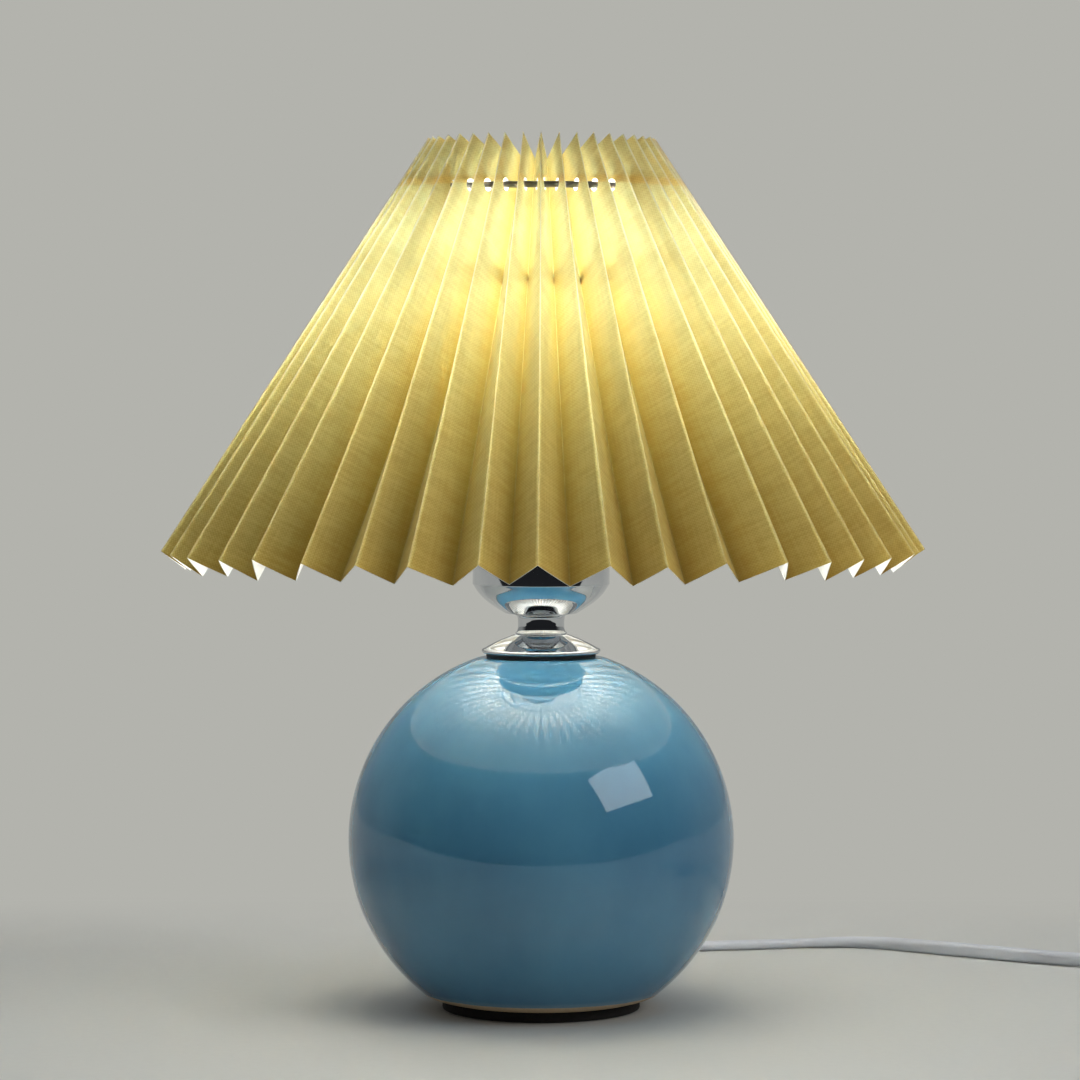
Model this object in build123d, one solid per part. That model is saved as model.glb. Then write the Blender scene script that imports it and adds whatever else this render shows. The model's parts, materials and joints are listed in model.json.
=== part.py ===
from build123d import *
import math
import os

os.makedirs("parts", exist_ok=True)

# All sizes are in millimetres, +Z is up, the lamp stands on z = 0

# Foot and ball
PAD_R = 35.9
PAD_T = 3.5
PAD_CHAMFER = 0.4
RIM_R = 36.2
RIM_H = 1.1
BALL_R = 70.0
BALL_WALL = 5.0
BALL_SINK = 12.2
BALL_MOUTH_R = 25.0
SEAT_R = 22.4
CROWN_T = 5.5

# Chrome column
GASKET_R = 20.6
GASKET_T = 1.5
CAP_R = 21.6
CAP_H = 6.9
CAP_LIP = 1.7
CAP_EDGE = 0.5
CAP_CURVE = [(0.86, 0.42), (0.67, 0.7), (0.47, 0.93)]  # shares of the cap's radius and height
CAP_HOLLOW = [(0.6, 0.55), (0.9, 0.07), (0.9, 0.0)]
NECK_R = 8.95
NECK_WAIST = 0.5
NECK_H = 7.5
NECK_BAND = 0.8
CUP_R = 24.9
CUP_FLOOR_R = 13.4
CUP_BOWL_H = 10.7
CUP_H = 26.5
CUP_SWELL = 0.09
CUP_ROUND = 0.3
SHEET_T = 0.8

# Threaded tube that clamps the column to the ball
TUBE_R = 5.0
TUBE_BORE = 3.8
TUBE_CLEAR = 0.25
WASHER_R = 18.0
WASHER_T = 1.5
LOCK_R = 9.0
LOCK_T = 1.2
NUT_AF = 15.0
NUT_T = 5.0
TUBE_TAIL = 4.0
TUBE_STICK = 1.0

# Lampholder
HOLDER_R = 19.9
HOLDER_WALL = 2.4
BASE_H = 13.0
BASE_FLOOR_T = 4.0
BASE_FOOT_R = 12.0
BASE_SIDE_H = 5.0
BASE_STEP = 1.0
CORE_T = 4.5
CORE_CLEAR = 0.3
SHOULDER_R = 23.2
SHOULDER_T = 3.6
SHOULDER_RISE = 21.4
HOLDER_RISE = 34.0
HOLDER_BORE = 15.0
SHELL_R = 14.0
SHELL_T = 0.5
SHELL_H = 25.0
CONTACT_R = 4.0
CONTACT_STEM_R = 2.0
CONTACT_T = 1.2
TERMINAL_X = 7.5
TERMINAL_SIZE = 5.0
SCREW_R = 1.3
SCREW_SINK = 0.5
SCREW_POCKET = 3.0

# Ring that holds the shade frame on the lampholder
GRIP_RING_R = 27.5
GRIP_RING_T = 5.4
GRIP_NOTCHES = 24
GRIP_NOTCH_R = 1.0
GRIP_NOTCH_OUT = 0.3
SLIDE_CLEAR = 0.1
TURN_CLEAR = 0.3

# Pleated shade
PLEATS = 40
SHADE_TOP_R = 41.0
SHADE_BOTTOM_R = 138.0
SHADE_TOP_Z = 315.0
SHADE_DROP = 148.2
FACET_WIDTH = 16.3
SHADE_WALL = 0.4

# Wire frame
TOP_RING_Z = 296.4
TOP_RING_R = 44.0
RING_WIRE_R = 1.15
HOLE_R = 1.9
SUPPORT_Z = 262.0
WIRE_GAP = 0.3
ARM_WIRE_R = 0.8
ARMS = 4
ARM_GAP = 0.6
ARM_FOOT = 3.0
ARM_BENDS = [4, 3]
WELD = 0.15
FRAME_WASHER_R = 31.0
FRAME_WASHER_T = 1.8

# Bulb
BULB_R = 30.0
BULB_LENGTH = 107.0
BULB_NECK_R = 14.6
GLASS_T = 1.0
CAP_SCREW_R = 13.0
CAP_SCREW_H = 22.5
CAP_RIDGES = 5
CAP_PITCH = 3.629
CAP_GROOVE = 0.8
CAP_SKIN = 1.0
CAP_CHAMFER = 0.4
CAP_LEAD_IN = 1.2
CAP_COLLAR_H = 1.5
RIDGE = (0.4, 0.6)  # where a thread ridge is highest, in pitches
INSULATOR_H = 2.6
INSULATOR_STEP = 0.6
INSULATOR_IN = 1.6
TIP_R = 4.6
TIP_H = 1.4
TIP_ROUND_R = 1.2
TIP_ROUND_H = 0.25
TIP_GAP = 0.3
STEM_R = 4.0
STEM_SHORT = 8.0
FLARE_H = 1.5
FLARE_CONE_H = 5.0
FILAMENTS = 4
FILAMENT_R = 1.0
FILAMENT_LOW = 26.0
FILAMENT_HIGH = 10.0
FILAMENT_LEAN = 8.0

# Cord
CORD_R = 2.75
CORD_CLEAR = 0.2
CORD_HOLE_Z = 16.0
BUSH_R = 5.2
BUSH_TIP_R = 3.9
BUSH_IN = 12.0
BUSH_OUT = 24.0
BUSH_COLLAR = 3.0
BEND_SHARE = 0.45  # of the shorter run, left for a bend
CORE_R = 1.1
CORE_APART = 1.3

# Cord switch
SWITCH_X = 277.0
SWITCH_Y = 56.0
SWITCH_TURN = -32.0
SWITCH_L = 58.0
SWITCH_W = 25.0
SWITCH_LOWER_H = 9.0
SWITCH_UPPER_H = 7.0
SWITCH_WALL = 1.8
SWITCH_CORNER = 7.0
SWITCH_SLEEVE_L = 10.0
SWITCH_SLEEVE_R = 5.2
CORD_GRIP = 6.0
SLEEVE_TIP = 0.9
SCREW_SPOT = (0.36, 0.3)  # shares of the case's length and width
BOSS_SHARE = 2.5
HEAD_SHARE = 2.0
HEAD_GAP = 0.2
ROCKER_L = 19.0
ROCKER_W = 9.0
ROCKER_DEPTH = 2.2
ROCKER_RISE = 4.4
ROCKER_TILT = 8.0
ROCKER_CLEAR = 0.6
ROCKER_DISH = 1.4
ROCKER_EDGE = 0.6
WINDOW_CORNER = 0.8
PIVOT_DROP = 2.2
PIVOT_RIB = 2.5
PIVOT_R = 1.0
PIVOT_FIT = 0.06
PIVOT_END = 0.2
TERMINAL_SHARE = 0.26
SPRING_T = 0.6
SPRING_OVER = 3.0

# Coil of spare cord and its tie
COIL_X = 291.0
COIL_Y = -28.0
COIL_R_OUT = 42.0
COIL_TURNS_LOW = 3.5
COIL_TURNS_HIGH = 3.0
COIL_PITCH = 6.1
COIL_LIFT = 1.2
TIE_T = 0.8
TIE_W = 9.0
TIE_GAP = 0.3

# Plug
PLUG_L = 35.0
PLUG_W = 26.0
PLUG_H = 13.6
PLUG_CORNER = 4.0
PLUG_SHIFT = 1.0
PLUG_BACK = 55.0
PLUG_REAR = (0.6, 0.8)  # shares of the width and height at the cord's end
PLUG_WAIST = (0.92, 0.45)
PLUG_ROOT = 0.2
PLUG_SLEEVE_L = 20.0
PLUG_SLEEVE_R = 4.6
PIN_R = 2.0
PIN_L = 19.0
PIN_SPACING = 19.0
PIN_NECK_R = 1.6
PIN_NECK_L = 0.5
PIN_ROUND = 1.6

# Heights that follow from the sizes above
BALL_Z = PAD_T + BALL_R - BALL_SINK
SEAT_Z = BALL_Z + math.sqrt(BALL_R**2 - SEAT_R**2)
CEILING_Z = SEAT_Z - CROWN_T
CAP_Z = SEAT_Z + GASKET_T
NECK_Z = CAP_Z + CAP_H
CUP_Z = NECK_Z + NECK_H
FLOOR_Z = CUP_Z + SHEET_T
BASE_TOP_Z = FLOOR_Z + BASE_H
CORE_TOP_Z = BASE_TOP_Z + CORE_T
SHOULDER_Z = BASE_TOP_Z + SHOULDER_RISE
HOLDER_TOP_Z = BASE_TOP_Z + HOLDER_RISE
FRAME_WASHER_Z = SHOULDER_Z + SLIDE_CLEAR
GRIP_RING_Z = FRAME_WASHER_Z + FRAME_WASHER_T + SLIDE_CLEAR
TUBE_BOTTOM_Z = CEILING_Z - WASHER_T - LOCK_T - NUT_T - TUBE_TAIL
TUBE_TOP_Z = FLOOR_Z + BASE_FLOOR_T + TUBE_STICK
TUBE_HOLE = TUBE_R + TUBE_CLEAR
TIP_Z = CORE_TOP_Z + CONTACT_T + TIP_GAP
SCREW_Z = TIP_Z + TIP_H + INSULATOR_H
GLASS_Z = SCREW_Z + CAP_SCREW_H
BULB_TOP_Z = TIP_Z + BULB_LENGTH
BULB_C_Z = BULB_TOP_Z - BULB_R
HOLE_Y = math.sqrt(BALL_R**2 - (BALL_Z - CORD_HOLE_Z)**2)
CORD_EXIT_Y = HOLE_Y + BUSH_OUT
SWITCH_AXIS_Z = SWITCH_LOWER_H
PLUG_AXIS_Z = PLUG_H / 2
PLUG_X = COIL_X + COIL_R_OUT - COIL_PITCH * (COIL_TURNS_LOW - COIL_TURNS_HIGH) + PLUG_SHIFT
PLUG_Y = COIL_Y - PLUG_BACK
COIL_LOW_Z = COIL_LIFT + CORD_R
COIL_HIGH_Z = COIL_LOW_Z + COIL_PITCH
COIL_R_IN = COIL_R_OUT - COIL_PITCH * COIL_TURNS_LOW
PIVOT_Z = SWITCH_LOWER_H + SWITCH_UPPER_H - PIVOT_DROP

# Shade slope: the cosine and sine of the fold's angle from the vertical
FOLD_LENGTH = math.hypot(SHADE_DROP, SHADE_BOTTOM_R - SHADE_TOP_R)
FOLD_COS = SHADE_DROP / FOLD_LENGTH
FOLD_SIN = (SHADE_BOTTOM_R - SHADE_TOP_R) / FOLD_LENGTH
HALF_PLEAT = math.pi / PLEATS


def save(shape, name):
    """Write one named piece."""
    export_step(shape, f"parts/{name}.step")


def turned(points):
    """Solid of revolution about Z from (radius, height) points."""
    outline = Polyline(*[(r, 0, z) for r, z in points], close=True)
    return revolve(make_face(outline), Axis.Z)


def tube(outer, inner, bottom, top):
    """Plain ring about Z."""
    return turned([(inner, bottom), (outer, bottom), (outer, top), (inner, top)])


def polar(radius, height, angle):
    """Point at an angle in radians about Z."""
    return (radius * math.cos(angle), radius * math.sin(angle), height)


def rod(path, radius):
    """Round wire or cord along a path."""
    start = path.position_at(0)
    section = Plane(start, z_dir=path.tangent_at(0)) * Circle(radius)
    return sweep(section, path=path)


def corner_radii(points):
    """Largest smooth bend at each inner point of a route."""
    radii = []
    for a, b, c in zip(points, points[1:], points[2:]):
        u = Vector(b) - Vector(a)
        v = Vector(c) - Vector(b)
        turn = math.radians(u.get_angle(v))
        radii.append(BEND_SHARE * min(u.length, v.length) / math.tan(turn / 2))
    return radii


def cord_run(points, name):
    """Cord along a route of straight runs and tangent arcs."""
    radii = corner_radii(points)
    path = FilletPolyline(*points, radius=radii)
    solid = rod(path, CORD_R)
    share = solid.volume / (math.pi * CORD_R**2 * path.length)
    print(name, "length", round(path.length, 1), "volume share", round(share, 4))
    print(name, "bend radii", [round(r) for r in radii])
    save(solid, name)


def mountain(s):
    """Outer fold at a share s of its length from the top."""
    return (SHADE_TOP_R + s * (SHADE_BOTTOM_R - SHADE_TOP_R), SHADE_TOP_Z - s * SHADE_DROP)


def valley(s):
    """Inner fold beside the outer one, a facet's width away."""
    ends = []
    for share in (0, 1):
        r, z = mountain(share)
        slack = 1 - math.cos(HALF_PLEAT)
        near = r * FOLD_COS * slack
        depth = near + math.sqrt(near**2 - 2 * r**2 * slack + FACET_WIDTH**2)
        ends.append((r - depth * FOLD_COS, z - depth * FOLD_SIN))
    (r0, z0), (r1, z1) = ends
    return (r0 + s * (r1 - r0), z0 + s * (z1 - z0))


def inner_side(fold, other, s):
    """Same fold on the inside of the shade wall."""
    r, z = fold(s)
    shift = SHADE_WALL * FACET_WIDTH / (other(s)[0] * math.sin(HALF_PLEAT))
    return (r - shift * FOLD_COS, z - shift * FOLD_SIN)


def valley_inside_radius(height):
    """Radius of the inner folds' inside at a height."""
    r0, z0 = inner_side(valley, mountain, 0)
    r1, z1 = inner_side(valley, mountain, 1)
    return r0 + (r1 - r0) * (z0 - height) / (z0 - z1)


SUPPORT_R = valley_inside_radius(SUPPORT_Z) - (RING_WIRE_R + WIRE_GAP) / FOLD_COS


def make_foot_pad():
    pad = Pos(0, 0, PAD_T / 2) * Cylinder(PAD_R, PAD_T)
    save(chamfer(pad.edges().group_by(Axis.Z)[0], PAD_CHAMFER), "foot_pad")


def make_ceramic_ball():
    rim_z = PAD_T + RIM_H
    lower_r = math.sqrt(BALL_R**2 - (BALL_Z - rim_z)**2)
    side = ThreePointArc((lower_r, 0, rim_z), (BALL_R, 0, BALL_Z), (SEAT_R, 0, SEAT_Z))
    top = Polyline((SEAT_R, 0, SEAT_Z), (0, 0, SEAT_Z), (0, 0, PAD_T), (RIM_R, 0, PAD_T),
                   (RIM_R, 0, rim_z), (lower_r, 0, rim_z))
    ball = revolve(make_face([side] + top.edges()), Axis.Z)
    cavity = Pos(0, 0, BALL_Z) * Sphere(BALL_R - BALL_WALL)
    floor_z = PAD_T + BALL_WALL
    keep = Pos(0, 0, (floor_z + CEILING_Z) / 2) * Cylinder(2 * BALL_R, CEILING_Z - floor_z)
    ball -= cavity & keep
    ball -= Pos(0, 0, BALL_Z) * Cylinder(BALL_MOUTH_R, 2 * BALL_R) & Pos(0, 0, floor_z) * Box(
        3 * BALL_R, 3 * BALL_R, 2 * BALL_WALL)
    ball -= Pos(0, 0, CEILING_Z) * Cylinder(TUBE_HOLE, 4 * CROWN_T)
    hole = Plane((0, 0, CORD_HOLE_Z), z_dir=(0, 1, 0)) * Cylinder(
        BUSH_R + CORD_CLEAR, 2 * BALL_R, align=(Align.CENTER, Align.CENTER, Align.MIN))
    ball -= hole
    save(ball, "ceramic_ball")


def make_column():
    save(tube(GASKET_R, TUBE_HOLE, SEAT_Z, CAP_Z), "cap_gasket")
    lip = [(CAP_R - CAP_EDGE, CAP_Z), (CAP_R, CAP_Z + CAP_LIP / 2),
           (CAP_R - CAP_EDGE, CAP_Z + CAP_LIP)]
    outside = [(r * CAP_R, CAP_Z + h * CAP_H) for r, h in CAP_CURVE] + [(NECK_R, NECK_Z)]
    hole = [(TUBE_HOLE, NECK_Z), (TUBE_HOLE, NECK_Z - SHEET_T), (NECK_R, NECK_Z - 2 * SHEET_T)]
    inside = [(r * CAP_R, CAP_Z + h * CAP_H) for r, h in CAP_HOLLOW]
    save(turned(lip + outside + hole + inside), "vase_cap")

    waist = ThreePointArc((NECK_R, 0, NECK_Z + NECK_BAND),
                          (NECK_R - NECK_WAIST, 0, NECK_Z + NECK_H / 2),
                          (NECK_R, 0, CUP_Z - NECK_BAND))
    back = Polyline((NECK_R, 0, CUP_Z - NECK_BAND), (NECK_R, 0, CUP_Z), (TUBE_HOLE, 0, CUP_Z),
                    (TUBE_HOLE, 0, NECK_Z), (NECK_R, 0, NECK_Z), (NECK_R, 0, NECK_Z + NECK_BAND))
    save(revolve(make_face([waist] + back.edges()), Axis.Z), "neck_spacer")

    crease_z = CUP_Z + CUP_BOWL_H
    swell = (CUP_R - CUP_FLOOR_R) * CUP_SWELL
    mid_r = (CUP_R + CUP_FLOOR_R) / 2 + swell
    mid_z = (CUP_Z + crease_z) / 2 - swell
    bowl = ThreePointArc((CUP_FLOOR_R, 0, CUP_Z), (mid_r, 0, mid_z), (CUP_R, 0, crease_z))
    slant = SHEET_T * math.sqrt(0.5)
    hollow = ThreePointArc((CUP_R - SHEET_T, 0, crease_z + CUP_ROUND),
                           (mid_r - slant, 0, mid_z + slant),
                           (CUP_FLOOR_R - CUP_ROUND, 0, FLOOR_Z))
    wall = Polyline((CUP_R, 0, crease_z), (CUP_R, 0, CUP_Z + CUP_H),
                    (CUP_R - SHEET_T, 0, CUP_Z + CUP_H), (CUP_R - SHEET_T, 0, crease_z + CUP_ROUND))
    floor = Polyline((CUP_FLOOR_R - CUP_ROUND, 0, FLOOR_Z), (TUBE_HOLE, 0, FLOOR_Z),
                     (TUBE_HOLE, 0, CUP_Z), (CUP_FLOOR_R, 0, CUP_Z))
    cup = revolve(make_face([bowl, hollow] + wall.edges() + floor.edges()), Axis.Z)
    save(cup, "socket_cup")


def make_tube_and_nut():
    save(tube(TUBE_R, TUBE_BORE, TUBE_BOTTOM_Z, TUBE_TOP_Z), "threaded_tube")
    z = CEILING_Z - WASHER_T
    save(tube(WASHER_R, TUBE_HOLE, z, CEILING_Z), "inner_washer")
    z -= LOCK_T
    save(tube(LOCK_R, TUBE_HOLE, z, z + LOCK_T), "lock_washer")
    z -= NUT_T
    nut = extrude(Pos(0, 0, z) * RegularPolygon(NUT_AF / 2, 6, major_radius=False), NUT_T)
    nut -= Pos(0, 0, z + NUT_T / 2) * Cylinder(TUBE_HOLE, 2 * NUT_T)
    save(nut, "clamp_nut")


def make_lampholder():
    inner = HOLDER_R - HOLDER_WALL
    base = turned([(TUBE_HOLE, FLOOR_Z), (BASE_FOOT_R, FLOOR_Z), (HOLDER_R, BASE_TOP_Z - BASE_SIDE_H),
                   (HOLDER_R, BASE_TOP_Z), (HOLDER_BORE, BASE_TOP_Z),
                   (BASE_FOOT_R - BASE_STEP, FLOOR_Z + BASE_FLOOR_T),
                   (TUBE_HOLE, FLOOR_Z + BASE_FLOOR_T)])
    save(base, "holder_base")

    sleeve = turned([(inner, BASE_TOP_Z), (HOLDER_R, BASE_TOP_Z),
                     (HOLDER_R, SHOULDER_Z - SHOULDER_T), (SHOULDER_R, SHOULDER_Z - SHOULDER_T),
                     (SHOULDER_R, SHOULDER_Z), (HOLDER_R, SHOULDER_Z),
                     (HOLDER_R, HOLDER_TOP_Z), (HOLDER_BORE, HOLDER_TOP_Z),
                     (HOLDER_BORE, CORE_TOP_Z), (inner, CORE_TOP_Z)])
    save(sleeve, "holder_sleeve")

    core_r = inner - CORE_CLEAR
    core = tube(core_r, CONTACT_STEM_R + CORE_CLEAR, BASE_TOP_Z, CORE_TOP_Z)
    for side in (-1, 1):
        pocket = Cylinder(SCREW_R + CORE_CLEAR, 2 * SCREW_POCKET)
        core -= Pos(side * TERMINAL_X, 0, BASE_TOP_Z) * pocket
    save(core, "holder_core")

    save(tube(SHELL_R, SHELL_R - SHELL_T, CORE_TOP_Z, CORE_TOP_Z + SHELL_H), "screw_shell")

    tongue = Pos(0, 0, CORE_TOP_Z + CONTACT_T / 2) * Cylinder(CONTACT_R, CONTACT_T)
    tongue += Pos(0, 0, CORE_TOP_Z - CORE_T / 2) * Cylinder(CONTACT_STEM_R, CORE_T)
    save(tongue, "centre_contact")

    block = Box(TERMINAL_SIZE, TERMINAL_SIZE, TERMINAL_SIZE)
    screws = []
    blocks = []
    for side in (-1, 1):
        z = BASE_TOP_Z - TERMINAL_SIZE / 2
        spot = Pos(side * TERMINAL_X, 0, z)
        bore = Cylinder(SCREW_R + CORE_CLEAR, 2 * TERMINAL_SIZE)
        blocks.append(spot * (block - bore))
        screws.append(spot * Cylinder(SCREW_R, TERMINAL_SIZE - 2 * SCREW_SINK))
    save(Compound(children=blocks), "terminal_blocks")
    save(Compound(children=screws), "terminal_screws")


def make_grip_ring():
    ring = tube(GRIP_RING_R, HOLDER_R + TURN_CLEAR, GRIP_RING_Z, GRIP_RING_Z + GRIP_RING_T)
    notch = Cylinder(GRIP_NOTCH_R, 2 * GRIP_RING_T)
    step = 2 * math.pi / GRIP_NOTCHES
    for i in range(GRIP_NOTCHES):
        centre = polar(GRIP_RING_R + GRIP_NOTCH_OUT, GRIP_RING_Z, (i + 0.5) * step)
        ring -= Pos(*centre) * notch
    save(ring, "grip_ring")


def make_shade():
    top_out, low_out, top_in, low_in = [], [], [], []
    for i in range(2 * PLEATS):
        fold, other = (mountain, valley) if i % 2 == 0 else (valley, mountain)
        angle = i * HALF_PLEAT
        top_out.append(polar(*fold(0), angle))
        low_out.append(polar(*fold(1), angle))
        top_in.append(polar(*inner_side(fold, other, 0), angle))
        low_in.append(polar(*inner_side(fold, other, 1), angle))
    faces = []
    rims = [(top_out, low_out), (top_in, low_in), (top_out, top_in), (low_out, low_in)]
    for first, second in rims:
        for i in range(2 * PLEATS):
            j = (i + 1) % (2 * PLEATS)
            edge_i = Edge.make_line(first[i], second[i])
            edge_j = Edge.make_line(first[j], second[j])
            faces.append(Face.make_surface_from_curves(edge_i, edge_j))
    shade = Solid(Shell(faces))
    shade -= Pos(0, 0, TOP_RING_Z) * Torus(TOP_RING_R, HOLE_R)
    print("shade strip", round(2 * PLEATS * FACET_WIDTH), "by", round(FOLD_LENGTH))
    save(shade, "pleated_shade")


def make_frame():
    save(Pos(0, 0, TOP_RING_Z) * Torus(TOP_RING_R, RING_WIRE_R), "frame_top_ring")
    save(Pos(0, 0, SUPPORT_Z) * Torus(SUPPORT_R, RING_WIRE_R), "frame_support_ring")
    washer_top = FRAME_WASHER_Z + FRAME_WASHER_T
    save(tube(FRAME_WASHER_R, HOLDER_R + TURN_CLEAR, FRAME_WASHER_Z, washer_top), "frame_washer")
    reach = RING_WIRE_R + ARM_WIRE_R - WELD
    foot_z = washer_top + ARM_WIRE_R - WELD
    route = [(GRIP_RING_R + ARM_WIRE_R + ARM_GAP, foot_z), (FRAME_WASHER_R + ARM_FOOT, foot_z),
             (SUPPORT_R - reach, SUPPORT_Z), (TOP_RING_R - reach, TOP_RING_Z)]
    arms = []
    for i in range(ARMS):
        angle = math.pi / ARMS + i * 2 * math.pi / ARMS
        points = [polar(r, z, angle) for r, z in route]
        arms.append(rod(FilletPolyline(*points, radius=ARM_BENDS), ARM_WIRE_R))
    save(Compound(children=arms), "frame_arms")


def make_bulb():
    tip = turned([(0, TIP_Z), (TIP_R - TIP_ROUND_R, TIP_Z + TIP_ROUND_H), (TIP_R, TIP_Z + TIP_H),
                  (0, TIP_Z + TIP_H)])
    save(tip, "bulb_tip")
    z = TIP_Z + TIP_H
    cone = turned([(0, z), (TIP_R + INSULATOR_STEP, z), (CAP_SCREW_R - INSULATOR_IN, SCREW_Z),
                   (0, SCREW_Z)])
    save(cone, "bulb_insulator")

    skin = CAP_SCREW_R - SHELL_T
    groove = CAP_SCREW_R - CAP_GROOVE
    outline = [(skin - CAP_SKIN, SCREW_Z), (skin - CAP_SKIN + CAP_CHAMFER, SCREW_Z)]
    for i in range(CAP_RIDGES):
        low = SCREW_Z + CAP_LEAD_IN + i * CAP_PITCH
        outline.append((groove, low))
        outline += [(CAP_SCREW_R, low + share * CAP_PITCH) for share in RIDGE]
    outline += [(groove, GLASS_Z - CAP_COLLAR_H), (groove, GLASS_Z), (skin - CAP_SKIN, GLASS_Z)]
    save(turned(outline), "bulb_screw_cap")

    side = Spline((BULB_NECK_R, 0, GLASS_Z), (BULB_R, 0, BULB_C_Z),
                  tangents=[(0.1, 0, 1), (0, 0, 1)])
    crown = ThreePointArc((BULB_R, 0, BULB_C_Z),
                          (BULB_R * math.sqrt(0.5), 0, BULB_C_Z + BULB_R * math.sqrt(0.5)),
                          (0, 0, BULB_TOP_Z))
    inner = BULB_R - GLASS_T
    side_in = Spline((BULB_NECK_R - GLASS_T, 0, GLASS_Z), (inner, 0, BULB_C_Z),
                     tangents=[(0.1, 0, 1), (0, 0, 1)])
    crown_in = ThreePointArc((inner, 0, BULB_C_Z),
                             (inner * math.sqrt(0.5), 0, BULB_C_Z + inner * math.sqrt(0.5)),
                             (0, 0, BULB_TOP_Z - GLASS_T))
    foot = Line((BULB_NECK_R, 0, GLASS_Z), (BULB_NECK_R - GLASS_T, 0, GLASS_Z))
    axis = Line((0, 0, BULB_TOP_Z), (0, 0, BULB_TOP_Z - GLASS_T))
    glass = revolve(make_face([side, crown, side_in, crown_in, foot, axis]), Axis.Z)
    save(glass, "bulb_globe")

    stem_top = BULB_C_Z - STEM_SHORT
    flare = BULB_NECK_R - GLASS_T - CORE_CLEAR
    stem = turned([(0, GLASS_Z), (flare, GLASS_Z), (flare, GLASS_Z + FLARE_H),
                   (STEM_R, GLASS_Z + FLARE_CONE_H), (STEM_R, stem_top), (0, stem_top)])
    save(stem, "bulb_stem")
    sticks = []
    for i in range(FILAMENTS):
        angle = i * 2 * math.pi / FILAMENTS
        low = polar(STEM_R + FILAMENT_R + CORE_CLEAR, BULB_C_Z - FILAMENT_LOW, angle)
        high = polar(STEM_R + FILAMENT_LEAN, BULB_C_Z + FILAMENT_HIGH, angle)
        sticks.append(rod(Line(low, high), FILAMENT_R))
    save(Compound(children=sticks), "bulb_filaments")


def make_cord_entry():
    inner_y = HOLE_Y - BUSH_IN
    bore = CORD_R + CORD_CLEAR
    spots = [(bore, inner_y), (BUSH_R, inner_y), (BUSH_R, HOLE_Y + BUSH_COLLAR),
             (BUSH_TIP_R, CORD_EXIT_Y), (bore, CORD_EXIT_Y)]
    bush = Pos(0, 0, CORD_HOLE_Z) * Rot(-90, 0, 0) * turned(spots)
    save(bush, "cord_bushing")

    end_z = TUBE_TOP_Z
    points = [(0, CORD_EXIT_Y, CORD_HOLE_Z), (0, inner_y / 2, CORD_HOLE_Z),
              (0, 2, CORD_HOLE_Z + 30), (0, 0, CORD_HOLE_Z + 68), (0, 0, end_z)]
    cord_run(points, "inner_cord")

    low_z = end_z + CORE_CLEAR
    high_z = BASE_TOP_Z - TERMINAL_SIZE - CORE_CLEAR
    for name, side in (("live_wire", 1), ("neutral_wire", -1)):
        near, far = side * CORE_APART, side * TERMINAL_X
        route = [(near, 0, low_z), (near, 0, low_z + CORE_R), (far, 0, high_z - CORE_R / 2),
                 (far, 0, high_z)]
        path = Polyline(*route)
        beads = [Pos(*p) * Sphere(CORE_R) for p in route[1:3]]
        wire = Part() + [rod(edge, CORE_R) for edge in path.edges()] + beads
        save(wire, name)


def switch_place(along, across, height):
    """Point in the cord switch's own directions."""
    turn = math.radians(SWITCH_TURN)
    return (SWITCH_X + along * math.cos(turn) - across * math.sin(turn),
            SWITCH_Y + along * math.sin(turn) + across * math.cos(turn), height)


def switch_box(length, width, low, high):
    """Rounded block in the cord switch's own directions."""
    return extrude(Pos(0, 0, low) * RectangleRounded(length, width, SWITCH_CORNER), high - low)


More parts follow.
